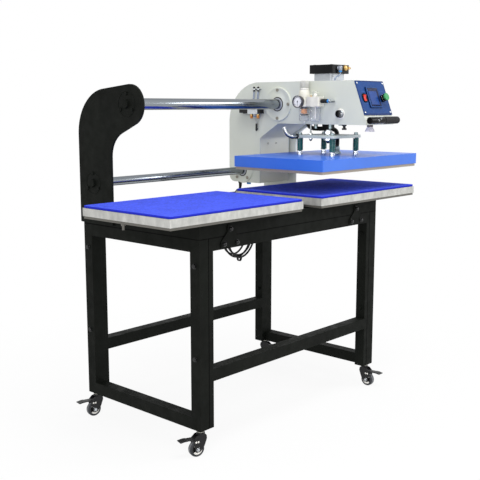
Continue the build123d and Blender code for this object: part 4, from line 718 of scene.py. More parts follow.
AXLE_TRAIL = 16.0
AXLE_Z = 25.0
tyre_half = [(18, 9.3), (20.5, 9.3), (22.6, 9.1), (24.1, 8.2), (24.8, 6.4), (24.9, 3)]
tyre = [(r, -z) for r, z in tyre_half] + [(25, 0)] + tyre_half[::-1] + [(18, -9.3)]
rim = ((10.6, 8.2), (17.2, 8.2), (17.2, 9.1), (16.4, 9.35), (11.4, 9.35), (10.6, 9.1))
rivet = [(0, 12.6), (3.2, 12.6), (3.1, 13.4), (2.4, 14.1), (1.2, 14.5), (0, 14.6)]
for corner, (x, y, turn) in CORNERS.items():
    place = move(x, y, 0, spin(turn))
    axle = place @ move(AXLE_TRAIL, 0, AXLE_Z, ALONG_Y)
    wheel, caster = f"wheel_{corner}", f"caster_{corner}"
    piece(f"caster_tyre_{corner}", lathe(tyre, 72), TYRE, axle, wheel, f"caster_wheel_{corner}", angle=50)
    piece(f"caster_tread_{corner}", ring(24.6, 25.0, -5.5, 5.5, 0.1, 72), TREAD, axle, wheel)
    hub = [ring(13.5, 18, -8.4, 8.4, 0.8, 64), ring(3.2, 6.5, -9.2, 9.2, 0.5, 40), ring(6.4, 13.6, -1.6, 1.6)]
    hub += [block(6, 14, -1, 1, -7, 7, spin(60 * i)) for i in range(6)]
    piece(f"caster_hub_{corner}", join(hub), PLASTIC, axle, wheel)
    rims = join(arc([(r, side * z) for r, z in rim], 40, 280, 32) for side in ENDS)
    piece(f"caster_ring_{corner}", rims, WHITE, axle, wheel, angle=50)
    heads = []
    for flip in (spin(180, "X"), ALONG_Z):
        heads += [hexagon(9.2, 12.9, 16.9, flip), rod(6, 12.75, 13.3, 0.2, 32, flip)]
        heads.append(rod(2.6, 16.5, 18.2, 0.6, 20, flip))
    piece(f"caster_axle_heads_{corner}", join(heads), CHROME_SMALL, axle, caster)
    rivets = join(lathe(rivet, 24, move(out, 0, 50, way)) for out in (14, 22) for way in (TO_FRONT, ALONG_Y))
    piece(f"caster_rivets_{corner}", rivets, WHITE, place, caster)


# Stand: bolts with domed heads over the plain CAD ones, rims at the shafts' ends and seams between the frames

heads = []
for z in (317.0, 609.0):
    for y in (20.0, STAND_DEEP - 20):
        for spot in (move(0, y, z, TO_LEFT), move(STAND_LONG, y, z, ALONG_X)):
            heads += [hexagon(13.6, 0.02, 5.6, spot), rod(5.4, 5.2, 6.1, 0.4, 32, spot)]
            heads.append(rod(8.6, 0.02, 1.2, 0.3, 32, spot))
dome = [(0, 0.02), (8.6, 0.02), (8.6, 1.2), (7.4, 1.3), (7.0, 4.4), (5.6, 6.4), (3.2, 7.4), (0, 7.7)]
for middle in (135.0, STAND_LONG - 135):
    for x, z in ((middle, 712.0), (middle - 29.5, 667.0), (middle + 29.5, 667.0)):
        heads.append(lathe(dome, 32, move(x, -4, z, TO_FRONT)))
        heads.append(lathe(dome, 32, move(x, STAND_DEEP + 4, z, ALONG_Y)))
piece("leg_bolt_heads", join(heads), BLACK_BOLT, body="stand")
rims = join(
    ring(reach - 1.6, reach, 0.01, 0.9, 0.3, 72, move(-8, y, z, TO_LEFT))
    for (_, y, z, _), reach in zip(SHAFTS, (41.0, 37.0))
)
piece("shaft_end_rims", rims, BLACK, body="stand")
SEAM_HALF = 1.2
seams = []
for y0, y1 in ((-0.25, 0.05), (STAND_DEEP - 0.05, STAND_DEEP + 0.25)):
    seams.append(block(0.5, STAND_LONG - 0.5, y0, y1, LEG_TOP - SEAM_HALF, LEG_TOP + SEAM_HALF))
    seams += [block(x - SEAM_HALF, x + SEAM_HALF, y0, y1, 86.5, LEG_TOP) for x in (40, STAND_LONG - 40)]
for x0, x1 in ((-0.25, 0.05), (STAND_LONG - 0.05, STAND_LONG + 0.25)):
    seams.append(block(x0, x1, 0.5, STAND_DEEP - 0.5, LEG_TOP - SEAM_HALF, LEG_TOP + SEAM_HALF))
piece("frame_seams", join(seams), SEAM, body="stand")


# Head: flanges, seals and screws at the shafts

for (label, y, z, r), flange_r, first, screw_r in zip(SHAFTS, (64.0, 50.0), (0, 45), (53.0, 39.0)):
    flange = [
        (r + 8.1, 0.02), (flange_r, 0.02), (flange_r, 5.4), (flange_r - 0.5, 6.2), (flange_r - 1.4, 6.55),
        (flange_r - 5.5, 6.6), (flange_r - 6, 6.3), (r + 13, 6.3), (r + 12.4, 6.6), (r + 8.6, 6.6),
        (r + 8.1, 6.1), (r + 8.1, 0.02),
    ]
    seal = [
        (r + 4.6, 3.6), (r + 8, 3.6), (r + 8, 7.2), (r + 7.4, 8), (r + 5.4, 8), (r + 4.6, 7.4),
        (r + 4.6, 3.6),
    ]
    wiper = [
        (r + 0.06, 3.6), (r + 4.5, 3.6), (r + 4.5, 7.0), (r + 3.9, 7.7), (r + 0.5, 8.0), (r + 0.06, 7.6),
        (r + 0.06, 3.6),
    ]
    faces = (move(HEAD_LEFT, y, z, TO_LEFT), move(HEAD_RIGHT, y, z, ALONG_X))
    flanges = [lathe(flange, 96, place) for place in faces]
    flanges += [ring(r + 0.06, r + 10, -60, 0, 0.4, 64, place) for place in faces]
    node = "shaft_bearings" if label == "upper" else ""
    piece(f"bearing_flanges_{label}", join(flanges), HEAD, replaces=node)
    piece(f"shaft_seals_{label}", join(lathe(seal, 80, place) for place in faces), PLASTIC)
    piece(f"shaft_wipers_{label}", join(lathe(wiper, 80, place) for place in faces), CYLINDER)
    spots = [spin(first + 90 * quarter, "X") @ Vector((0, screw_r, 0)) for quarter in range(4)]
    screws = join(
        socket_screw(6.2, 3.1, move(*spot) @ place @ move(0, 0, 6.5)) for place in faces for spot in spots
    )
    piece(f"flange_screws_{label}", screws, SCREW)

screws = join(socket_screw(3.6, 2.1, move(HEAD_LEFT + x, SPINE_FRONT, 941, TO_FRONT)) for x in (50, 99))
piece("throat_screws", screws, SCREW)
piece("rubber_stop", lathe([
    (0, -20.2), (8.2, -20.2), (8.7, -19.7), (8.7, -14.4), (8.2, -13.9), (5.2, -13.9), (5.1, -6.1),
    (8.2, -6.1), (8.7, -5.6), (8.7, -0.1), (0, -0.1),
], 40), DARK_GREY, move(HEAD_LEFT + 57, 45, ARM_BOTTOM))


# Slanted control panel: x to the right, y down the slope is negative, z out of the panel's face

slope = Vector((0, NOSE_TOP_Y - NOSE_BOTTOM_Y, HEAD_TOP - ARM_BOTTOM)).normalized()
out = Vector((1, 0, 0)).cross(slope)
PANEL_PLACE = Matrix.Translation((HEAD_LEFT, NOSE_TOP_Y, HEAD_TOP)) @ Matrix((
    (1, slope.x, out.x, 0), (0, slope.y, out.y, 0), (0, slope.z, out.z, 0), (0, 0, 0, 1),
))
PANEL_THICK = 3.0


def on_panel(x, down):
    return PANEL_PLACE @ move(x, -down, PANEL_THICK)


PANEL_FACE = on_panel(0, 0)
SCREEN = on_panel(86, 66)
ROCKER = on_panel(30, 67.5)
BUTTON = on_panel(139, 70.5)
piece("control_panel_plate", prism(rounded(180, 130, 3, 5), 0.03 - PANEL_THICK, 0), PANEL, on_panel(90, 67),
      replaces="control_panel", bevel=0.7, segments=3)
edges = ((1, 179, 2.8, 6.6), (1, 179, 126.2, 131.2), (1, 4.4, 2.8, 131.2), (174.8, 179, 2.8, 131.2))
bands = join(block(x0, x1, -down1, -down0, -0.1, 0.12) for x0, x1, down0, down1 in edges)
piece("panel_lines", bands, PANEL_EDGE, PANEL_FACE)
fine = join(
    block(x - 11, x + 11, -down - 0.35, -down + 0.35, -0.1, 0.1) for down in (43, 88) for x in (34, 148)
)
piece("panel_fine_lines", fine, PANEL_PRINT_AND_HIGHLIGHT, PANEL_FACE)
screw = [(0, 0), (3.6, 0), (3.6, 0.5), (3.2, 1.3), (2.2, 1.8), (1.1, 2.0), (0, 2.0)]
screws = join(lathe(screw, 28, move(x, -down, 0)) for x in (9, 171) for down in (11, 121))
piece("panel_screws", screws, CHROME_SMALL, PANEL_FACE)

# The bezel's side walls and its well are navy, darker than its blue face: painted shade.
piece("screen_sides", stepped(
    (rounded(76, 78, 4), 0.02), (rounded(76, 78, 4), 4.4),
    (rounded(72, 74, 3), 4.4), (rounded(72, 74, 3), 0.6),
), PANEL_PAINTED_SHADE, SCREEN, replaces="touch_screen")
piece("screen_frame", stepped(
    (rounded(71.8, 73.8, 3), 0.62), (rounded(71.8, 73.8, 3), 4.41), (rounded(75.6, 77.6, 4), 4.41),
    (rounded(74.6, 76.6, 3.6), 5.0), (rounded(67, 70, 3), 5.02), (rounded(66.6, 69.6, 2.8), 0.65),
), PANEL, SCREEN)
piece("screen_well", stepped(
    (rounded(66.5, 69.5, 2.8), 0.7), (rounded(66.5, 69.5, 2.8), 4.9), (rounded(60, 63, 2), 4.4),
    (rounded(52, 54, 1.4, x=-0.6, y=-1.5), 3.0),
), PANEL_PAINTED_SHADE, SCREEN)
piece("screen_glass", prism(rounded(50, 51, 1.2, 3, -0.6, -2.5), 3.2, 3.7), DISPLAY, SCREEN, bevel=0.2)
# Thin pale strips along the bezel's outer edges: painted highlights.
glints = ((-37.6, -36.9, -34, 34), (-33, 33, 37.3, 38.1), (-30, 30, -38.2, -37.6), (-31.6, -31, -30, 30))
piece("screen_edge_highlights", join(block(*sides, 4.5, 5.15) for sides in glints), PANEL_PRINT_AND_HIGHLIGHT, SCREEN, bevel=0.3)

piece("rocker_housing", stepped(
    (rounded(28, 34, 12, 7), 0.02), (rounded(28, 34, 12, 7), 2), (rounded(26.4, 32.4, 11.4, 7), 3),
    (rounded(16.4, 26, 1.5, 7), 3), (rounded(15.8, 25.3, 1.2, 7), -3),
), GLOSS, ROCKER, replaces="switch_housings")
piece("button_housing", lathe([
    (13, 0.02), (13.2, 1), (13.2, 9), (12.6, 9.6), (12.6, 10.4), (13.2, 11), (13.2, 14.6), (12.4, 15.8),
    (10.6, 15.9), (10.25, 15.2), (10.25, 4.2), (0, 4.2),
]), GLOSS, BUTTON)
piece("button_ring", ring(13.0, 13.7, 9.7, 10.4, 0.2), CHROME_SMALL, BUTTON)
key = [(-10, -3), (10, -3), (11.4, 5.6), (10.9, 6.5), (9.2, 6.3), (5, 4.7), (0, 4.1), (-5, 4.7), (-9.2, 6.3),
       (-10.9, 6.5), (-11.4, 5.6)]
piece("rocker_key", skin([[(x, y, z) for y, z in key] for x in (-7.4, 7.4)]), RED,
      ROCKER @ move(0, 0, -2, spin(8, "X")), "rocker", "rocker_switch", 0.6, 3)
piece("green_cap", lathe([
    (0, 8.1), (9.9, 8.1), (9.9, 20.1), (13.2, 20.1), (13.9, 20.6), (14, 21.4), (13.8, 23.4), (12.9, 24.6),
    (11.6, 24.95), (8, 24.7), (3, 24.4), (0, 24.4),
]), GREEN_CAP, BUTTON, "start", "start_button")


# Handle bar: glossy mount on the left, matt grip on the right

HANDLE_Y = -112.0
HANDLE_Z = 1037.5
piece("handle_mount", rod(12, 0.2, 91.8, 2.0, 56), GLOSS, move(726, HANDLE_Y, HANDLE_Z, ALONG_X),
      replaces="handle_bar")
foot = block(764, 812, HANDLE_Y + 6, -82.6, HANDLE_Z - 8, HANDLE_Z + 8)
for vertex in foot.verts:
    if vertex.co.y > HANDLE_Y + 10:
        vertex.co.y = NOSE_BOTTOM_Y + (vertex.co.z - ARM_BOTTOM) * slope.y / slope.z - 0.05
piece("handle_foot", foot, GLOSS, bevel=1.0, segments=3)
grip = [(0, 0.1), (12.6, 0.1), (13, 0.6), (13, 5)]
for i in range(18):
    z = 8 + 3.6 * i
    grip += [(13, z), (12.75, z + 0.5), (12.75, z + 1.1), (13, z + 1.6)]
grip += [(6.5 + x, 85.5 + z) for x, z in circle(32, 6.5)[1:9]]
piece("handle_grip", lathe(grip + [(0, 92)], 56), GRIP, move(818, HANDLE_Y, HANDLE_Z, ALONG_X), angle=50)
places = ((770, -121.8, HANDLE_Z), (786, -120.4, HANDLE_Z + 6))
piece("handle_screws", join(socket_screw(3.5, 3.2, move(*place, TO_FRONT)) for place in places), CHROME_SMALL)


# Work lamp under the nose

lamp_at = move(HEAD_LEFT + 52, -70, ARM_BOTTOM)
piece("lamp_socket", lathe([
    (0, -7.2), (9.6, -7.2), (10.8, -6.4), (11, -5.4), (11, -0.6), (10.6, -0.05), (0, -0.05),
], 40), SOCKET_GREY, lamp_at, replaces="work_lamp")
piece("lamp_lens", lathe([
    (0, -23.2), (8, -23.6), (15, -23.9), (17.4, -23.6), (18, -22.8), (17.6, -21.6), (14.6, -15.6),
    (11.8, -11), (10.2, -8), (9.9, -7.1), (0, -7.1),
]), LAMP, lamp_at)


# Air cylinder on top of the head

PRESS_AT = move(RIGHT_X, PLATEN_Y, 0)
PORT_Z = CAP_BOTTOM + 20.5
piece("cylinder_cap", prism(rounded(105, 105, 2, 2), CAP_BOTTOM + 0.02, CAP_BOTTOM + 32), CAP, PRESS_AT,
      replaces="cylinder_caps", bevel=0.8, segments=3)
screws = join(socket_screw(5.5, 1.2, move(38 * i, 38 * j, CAP_BOTTOM + 31.95)) for i in ENDS for j in ENDS)
piece("cap_screws", screws, BLACK_BOLT, PRESS_AT)
lower = prism(rounded(80, 80, 8), ARM_BOTTOM + 3, ARM_BOTTOM + 19)
sleeve = ring(10.05, 23, ARM_BOTTOM - 20, ARM_BOTTOM + 3, 1.0, 56)
piece("lower_cap", join([lower, sleeve]), CAP, PRESS_AT)
bolts = []
for i in ENDS:
    for j in ENDS:
        spot = move(33 * i, 33 * j, ARM_BOTTOM)
        bolts += [hexagon(13, -7, -1.2, spot), rod(7.4, -1.25, -0.02, 0.3, 32, spot)]
        if i < 0:
            bolts += [hexagon(13, -16.6, -7.6, spot), rod(4, -18, -0.1, 0.6, 32, spot)]
piece("arm_bolts", join(bolts), DULL_CHROME, PRESS_AT)

PORT_DEEP = 10.0
elbow_x = RIGHT_X - 16
tube_y = CAP_FRONT - PORT_DEEP
elbow_at = move(elbow_x, tube_y, PORT_Z)
elbow = join([
    lathe([(0, -9.9), (6.6, -9.9), (7, -9.3), (7, 3.6), (6.2, 5.9), (4.4, 6.9), (0, 7)], 40),
    rod(6, 0, PORT_DEEP - 0.05, 0.4, 36, ALONG_Y), hexagon(13, PORT_DEEP - 4.5, PORT_DEEP - 0.05, ALONG_Y),
])
piece("cylinder_elbow", elbow, ELBOW_GREY, elbow_at, replaces="ports_and_glands")
piece("elbow_collar", ring(3.1, 6, -15.9, -9.95, 0.8, 40), BLUE_RING, elbow_at)
silencer = lathe([
    (0, 0.05), (6.2, 0.05), (6.2, 3.2), (9.5, 3.2), (9.5, 9.4), (9.0, 10.6), (7.4, 11.8), (4.5, 12.2),
    (0, 12.3),
], 40)
silencer_x = RIGHT_X + 20
silencer_at = move(silencer_x, CAP_FRONT, PORT_Z, TO_FRONT)
piece("port_silencer", join([silencer, ribs(16, 9.3, 0.9, 3.4, 9.6, 0.3)]), BRASS, silencer_at)
barbs = [(3.5 - 0.35 * (i % 2), 23 + i * 0.9) for i in range(9)]
nipple = lathe([(0, 6), (3.2, 6), (3.5, 6.4)] + barbs + [(3.0, 31.8), (0, 32)], 32)
nipple = join([nipple, hexagon(12, 14, 22)])
piece("port_nipple", nipple, BRASS, move(silencer_x, CAP_FRONT - 6, PORT_Z, ALONG_X))

TUBE_D = 6.0


def free_tube(name, points):
    """A small air tube on its own NURBS line."""
    obj = curve_object(name, points, TUBE_D / 2, TUBE, resolution=10)
    length = line_length(centreline(points, 10)) / 1000


tube_x = RIGHT_X - 51
tube_top = PORT_Z - 16
free_tube("cylinder_tube", [
    (elbow_x, tube_y, tube_top), (elbow_x - 1, tube_y, tube_top - 9),
    (tube_x + 20, tube_y - 1, HEAD_TOP + 18), (tube_x + 2, tube_y - 0.5, HEAD_TOP + 11),
    (tube_x, tube_y, HEAD_TOP + 1), (tube_x, tube_y, HEAD_TOP - 8),
])
piece("cord_gland", lathe([
    (4.2, -10), (6, -10), (6.6, -9.2), (6.8, -6), (8.2, -5.4), (8.4, -4.8), (8.4, -0.05), (0, -0.05),
    (0, -9.9), (4.2, -10),
], 24), PLASTIC, move(cord_x, cord_y, HEAD_BOTTOM))
inlet_at = move(HEAD_LEFT + 42, 500, HEAD_BOTTOM)
inlet = lathe([(0, -4.9), (9, -4.9), (9.5, -4.4), (9.5, -0.6), (9, -0.05), (0, -0.05)], 36)
piece("inlet_body", inlet, CHROME_SMALL, inlet_at)
piece("inlet_collar", lathe([
    (4, -12), (7.8, -12), (8.5, -11.4), (8.5, -8.6), (7.9, -8.2), (7.9, -7.6), (8.5, -7.2), (8.5, -5),
    (4, -5), (4, -12),
], 40), BLUE_RING, inlet_at)


# Press: piston rod, cross plate, guide rod, stub

bar = rod(10, CROSS_BOTTOM - 4, CAP_BOTTOM - 2, 1.0, 64)
piece("piston_rod_bar", bar, CHROME, PRESS_AT, "press", "piston_rod")
nuts = join([
    hexagon(28, CROSS_TOP + 1.5, CROSS_TOP + 15), rod(17, CROSS_TOP + 0.02, CROSS_TOP + 1.6, 0.3, 40),
    hexagon(28, CROSS_BOTTOM - 11, CROSS_BOTTOM - 0.02),
    lathe([(0, -22), (3, -21.8), (5.6, -20.4), (7.4, -18), (8.6, -14.5), (9, -11), (0, -11)], 40,
          move(0, 0, CROSS_BOTTOM)),
])
piece("rod_nuts", nuts, CHROME_SMALL, PRESS_AT, "press")
guide_at = PRESS_AT @ move(-45, 48, 0)
piece("guide_rod", rod(3, CROSS_BOTTOM - 4, ARM_BOTTOM + 102, 0.6, 28), CHROME_SMALL, guide_at, "press")
nuts = join([
    hexagon(13, CROSS_BOTTOM - 6, CROSS_BOTTOM - 0.02), hexagon(13, CROSS_TOP + 0.02, CROSS_TOP + 5.2),
    lathe([(0, -13), (2.4, -12.7), (4.3, -11.2), (5.5, -8.8), (5.9, -6), (0, -6)], 32,
          move(0, 0, CROSS_BOTTOM)),
])
piece("guide_nuts", nuts, CHROME_SMALL, guide_at, "press")
plate = prism(rounded(180, 180, 8), CROSS_BOTTOM, CROSS_TOP)
piece("cross_plate_body", plate, CROSS, PRESS_AT, "press", "cross_plate", 1.6, 3)
stub_at = (RIGHT_X - 90, PLATEN_Y + 78, (CROSS_BOTTOM + CROSS_TOP) / 2)
piece("stub_ferrule", lathe([
    (8.2, -10), (8.9, -10), (9.5, -9.2), (9.5, -6.2), (8.9, -5.8), (8.9, -4.6), (9.5, -4.2), (9.5, -0.05),
    (8.2, -0.05), (8.2, -10),
], 36), PLASTIC, move(*stub_at, ALONG_X), "press")
bend = ((-0.5, 0, 0), (-10, 0, 0), (-25, 1, -2), (-37, 12, 4), (-43, 20, 17), (-46, 26, 35))
stub_line = centreline([tuple(a + b for a, b in zip(stub_at, point)) for point in bend], 10)
stub_long = line_length(stub_line)
stations = [(0.3 * i / 8, 8.1) for i in range(9)] + [(0.31, 8.5), (0.36, 8.5), (0.37, 8.1)]
stations = [(stub_long * share, radius) for share, radius in stations]
stations += [(stub_long * (0.4 + 0.045 * i), 8.1) for i in range(11)]
stations += [(stub_long - 5, 8.5), (stub_long - 2.2, 8.5), (stub_long - 1.0, 7.8), (stub_long - 0.2, 6.4)]
piece("chrome_stub", tube(stub_line, stations, 32), CHROME_SMALL, body="press", angle=50)


# Springs on their posts. The control points lie a little outside the round coil that they draw

SPRING_BOTTOM = 919.0
SPRING_LENGTH = 51.0
SPRING_WIRE = 3.8
SPRING_TURNS = 11
SPRING_POINTS = 14
SPRING_REACH = 9.8 * 1.025
posts = [(RIGHT_X + 75 * i, PLATEN_Y + 75 * j) for i in ENDS for j in ENDS]
steps = SPRING_TURNS * SPRING_POINTS
bottom = SPRING_BOTTOM + SPRING_WIRE / 2 + 0.3
rise = SPRING_LENGTH - SPRING_WIRE - 0.6
coil = circle(SPRING_POINTS, SPRING_REACH) * SPRING_TURNS
coil.append(coil[0])
bolts = []
nuts = []
caps = []
for index, (x, y) in enumerate(posts):
    points = [(x + dx, y + dy, bottom + rise * i / steps) for i, (dx, dy) in enumerate(coil)]
    curve_object(f"press_spring_{index}", points, SPRING_WIRE / 2, SPRING, "press",
                 "" if index else "press_springs", 3)
    spot = move(x, y, 0)
    bolts.append(rod(3.95, COVER_TOP + 0.02, CROSS_TOP + 9, 0.6, 32, spot))
    nuts.append(hexagon(17, COVER_TOP + 0.02, COVER_TOP + 5, spot))
    nuts.append(rod(11, COVER_TOP + 5.1, COVER_TOP + 6.8, 0.4, 40, spot))
    nuts.append(hexagon(17, COVER_TOP + 7, SPRING_BOTTOM - 0.02, spot))
    caps.append(rod(9, CROSS_TOP + 0.02, CROSS_TOP + 1.5, 0.3, 40, spot))
    caps.append(hexagon(13, CROSS_TOP + 1.6, CROSS_TOP + 8, spot))
piece("spring_post_bolts", join(bolts), DULL_CHROME, body="press", replaces="spring_bolts")
piece("spring_post_caps", join(caps), DULL_CHROME, body="press")
piece("spring_post_nuts", join(nuts), CHROME_SMALL, body="press")


# Ribbed hose from the heater cover over the cross plate into the arm

HOSE_D = 17.0
HOSE_RIB = 4.4
arch = ARM_BOTTOM - 20
route = (
    (60, 0, COVER_TOP + 30), (61, 0, arch - 18), (54, 5, arch - 4), (40, 15, arch + 2), (-4, 46, arch + 1),
    (-22, 60, arch + 3), (-35, 69, arch + 14), (-38, 72, arch + 38), (-38, 73, arch + 98),
)
hose_points = [(RIGHT_X + x, PLATEN_Y + y, z) for x, y, z in route]
hose_line = centreline(hose_points, 16)
hose_long = line_length(hose_line)
rib = ((0.05, 7.3), (0.18, 8.0), (0.3, 8.5), (0.45, 8.6), (0.6, 8.5), (0.72, 8.0), (0.85, 7.3))
stations = [(0, 7.3)]
distance = HOSE_D * 0.3
while distance + HOSE_RIB < hose_long - 2:
    stations += [(distance + share * HOSE_RIB, radius) for share, radius in rib]
    distance += HOSE_RIB
stations.append((hose_long, 7.3))
hose = tube(hose_line, stations, 28)
hose = piece("ribbed_hose", hose, PLASTIC, body="press", replaces="heater_hose", angle=50)
nut = lathe([
    (0, 9), (9.6, 9), (10, 9.5), (10, 14), (9, 14.6), (9, 15.4), (10, 16), (10, 24), (9.6, 26), (8.9, 29),
    (8.4, 30), (0, 30),
], 40)
gland = join([hexagon(24, 0.02, 9), nut])
piece("hose_gland", gland, DULL_CHROME, PRESS_AT @ move(60, 0, COVER_TOP), "press")


# Air unit: regulator with knob and gauge, lubricator, bowls and outlet

LUB_HIGH = 35.0
BOWL_LOW = REG_BOTTOM - 54.6
reg_at = move(AIR_X, REG_Y, REG_BOTTOM)
neck = lathe([
    (0, 27.95), (18.6, 27.95), (18.6, 30), (19.8, 31), (19.8, 46), (19.2, 52), (17.4, 57.4), (16.6, 60),
    (0, 60),
], 56)
body = join([prism(rounded(39.6, 43.6, 15, 8), 0, 28), neck, ribs(20, 19.7, 0.7, 32, 46, 0.5)])
piece("regulator_body", body, CREAM, reg_at, replaces="air_unit", bevel=0.9, segments=3)
bands = join(prism(rounded(40.2, 44.2, 15.3, 8), 3 + 2.6 * i, 4.2 + 2.6 * i) for i in range(4))
piece("regulator_ribs", bands, CREAM, reg_at)
piece("regulator_bracket", block(19.5, HEAD_LEFT - AIR_X - 0.02, -12, 12, 20, 44), CREAM, reg_at, bevel=0.8)
body = prism(rounded(35.8, 55.9, 4), 0, LUB_HIGH)
piece("lubricator_body", body, CREAM, reg_at @ move(0, -50, 0), bevel=0.8, segments=3)
collar = [(0, -0.02), (18.9, -0.02), (19.4, 0.3), (19.4, 2.6), (18.6, 3.2), (0, 3.2)]
collars = join(lathe(collar, 48, move(AIR_X, y, REG_BOTTOM - 1.6)) for y in (REG_Y, LUB_Y))
piece("bowl_collars", collars, CREAM, replaces="air_bowls")
dome_at = move(AIR_X, LUB_Y, REG_BOTTOM + LUB_HIGH)
piece("sight_dome", lathe([
    (0, 0), (14, 0), (14, 1.6), (13.2, 2.2), (13.2, 8), (12.6, 12), (10.8, 16), (7.6, 19.2), (4, 20.7),
    (0, 21),
]), BOWL, dome_at)
piece("sight_core", lathe([(0, 0.2), (6, 0.2), (6, 7), (3.4, 9), (3.4, 13), (0, 13.6)], 28), WHITE, dome_at)
screw = lathe([(0, 0), (4, 0), (4, 3.6), (3.2, 4.4), (0, 4.4)], 24)
piece("oil_screw", screw, BRASS, dome_at @ move(5, 22, 0))

outlet_z = REG_BOTTOM + 0.55 * LUB_HIGH
outlet_at = move(AIR_X, 86, outlet_z, TO_FRONT)
piece("air_outlet", lathe([
    (0, 0.05), (7.5, 0.05), (7.5, 5), (6.7, 5.6), (6.7, 7.4), (7.5, 8), (7.5, 13), (6.6, 13.6), (6.6, 15.2),
    (7.5, 15.8), (7.5, 20), (6.9, 20.6), (6.9, 22), (7.5, 22.6), (7.5, 27), (7, 28), (0, 28),
], 40), PLASTIC, outlet_at)
tip = lathe([(0, 28.05), (5.6, 28.05), (6, 28.6), (6, 34.4), (5.6, 35), (0, 35)], 36)
piece("outlet_tip", tip, BLUE_RING, outlet_at)
elbow = join([
    lathe([(0, 35.05), (5.2, 35.05), (5.8, 36), (5.8, 40), (4.8, 40.9), (0, 41)], 36, outlet_at),
    rod(4.8, 6.2, HEAD_LEFT - AIR_X - 0.05, 0.4, 32, move(AIR_X, 51.5, outlet_z, ALONG_X)),
])
piece("outlet_elbow", elbow, CHROME_SMALL)

shell = [
    (16.6, 52.9), (16.6, 5.5), (15.8, 3.6), (13.5, 2.6), (0, 2.4), (0, 0), (13.5, 0.1), (16.4, 0.9),
    (18.2, 2.7), (18.9, 5.5), (18.9, 20), (19, 52.9), (16.6, 52.9),
]
filter_at = move(AIR_X, REG_Y, BOWL_LOW)
oiler_at = move(AIR_X, LUB_Y, BOWL_LOW)
for label, place in (("filter", filter_at), ("lubricator", oiler_at)):
    piece(f"{label}_bowl", lathe(shell, 56), BOWL, place)
    piece(f"{label}_bowl_ribs", ribs(8, 18.6, 0.7, 6, 50, 0.5), BOWL, place)
element = lathe([(0, 29), (10.6, 29), (11, 29.6), (11, 45.4), (10.6, 46), (0, 46)], 40)
piece("filter_element", element, ORANGE, filter_at)
guard = [(0, 21.5), (13.5, 21.5), (14.4, 22.2), (14.4, 26), (13, 26.8), (5, 27.4), (5, 29.05), (0, 29.05)]
crown = [(0, 46), (14.5, 46), (14.5, 49.5), (9, 52.8), (0, 52.8)]
piece("filter_baffle", join([lathe(guard, 40), lathe(crown, 40)]), PLASTIC, filter_at)
drain = lathe([(0, -7.5), (2.2, -7.5), (2.4, -4.2), (4, -3.8), (4, -0.4), (3, -0.05), (0, -0.05)], 28)
piece("bowl_drain", drain, CREAM, filter_at)
piece("oil_pipe", rod(2.4, 8, 52.6, 0.5, 20), WHITE, oiler_at)

gauge_at = move(667.5, REG_Y, 1103.0, ALONG_X)
case = lathe([
    (0, 6.05), (19.4, 6.05), (19.4, 1.2), (19.8, 0.25), (20.8, 0.02), (21.7, 0.6), (22, 1.8), (22, 4.8),
    (21.4, 5.6), (20.8, 6.2), (20.8, 16.4), (20, 17.6), (18, 18), (0, 18),
], 72)
piece("gauge_case", case, GAUGE_RIM, gauge_at, replaces="pressure_gauge")
piece("gauge_stem", hexagon(14, 18.02, 23.9), BRASS, gauge_at)
piece("gauge_dial", rod(19.2, 5.2, 6.0, 0.1, 64), DIAL, gauge_at)
ink = [arc([(17, 4.95), (17.5, 4.95), (17.5, 5.25), (17, 5.25)], 45, 270, 48)]
for i in range(31):
    half, long = (0.2, 2.0) if i % 5 else (0.34, 3.6)
    ink.append(block(-half, half, 17 - long, 17, 4.95, 5.25, spin(9 * i - 45)))
piece("gauge_marks", join(ink), DIAL_INK, gauge_at)
needle = join([
    prism([(-0.9, -4), (0.9, -4), (0.7, 0), (0.25, 14.6), (-0.25, 14.6), (-0.7, 0)], 3.1, 3.9),
    lathe([(0, 2.9), (2.2, 2.9), (2.5, 3.2), (2.5, 4.2), (0, 4.2)], 28),
])
piece("gauge_pointer", needle, DIAL_INK, gauge_at @ spin(-90), "needle", "gauge_needle")
piece("gauge_glass", rod(19.3, 0.9, 1.6, 0.2, 64), LENS, gauge_at)

knob_at = reg_at @ move(0, 0, 60)
knob = lathe([
    (0, 0.35), (16.2, 0.35), (16.9, 1), (16.9, 6.2), (16.2, 7), (15.4, 7.4), (15.4, 29.6), (14.8, 31.4),
    (13.2, 32.6), (6, 33), (0, 33),
], 64)
knob = join([knob, ribs(24, 15.4, 1.25, 7.6, 30.6, 0.8, 12)])
piece("regulator_knob_body", knob, KNOB_GREY, knob_at, "regulator", "regulator_knob")
piece("knob_ring", lathe([
    (16.75, 1.6), (17.0, 1.8), (17.0, 5.2), (16.75, 5.4), (16.2, 5.4), (16.2, 1.6), (16.75, 1.6),
], 64), WHITE, knob_at, "regulator")

flow_at = move(HEAD_LEFT, 22, ARM_BOTTOM + 39, TO_LEFT)
dial = lathe([(0, 0.3), (13.6, 0.3), (14, 0.8), (14, 5.4), (13.4, 6.2), (0, 6.3)], 56)
dial = join([dial, ribs(18, 13.8, 0.8, 0.8, 5.6, 0.3)])
piece("flow_knob_dial", dial, CHROME_SMALL, flow_at, "flow", "flow_knob")
turns = [math.radians(4 + 172 * i / 20) for i in range(21)]
moon = [(13.4 * math.cos(turn), 13.4 * math.sin(turn)) for turn in turns]
piece("flow_knob_grip", prism(moon, 6.2, 14.9), GLOSS, flow_at, "flow", bevel=1.0, segments=3)
piece("flow_mark", rod(2.2, 6.2, 6.9, 0.2, 24), WHITE, flow_at @ move(0, -8, 0), "flow")
piece("flow_knob_plate", ring(14.3, 18.5, 0.02, 0.9, 0.3, 56), WHITE, flow_at)


# Valve on the head's left side with its silencers and tubes

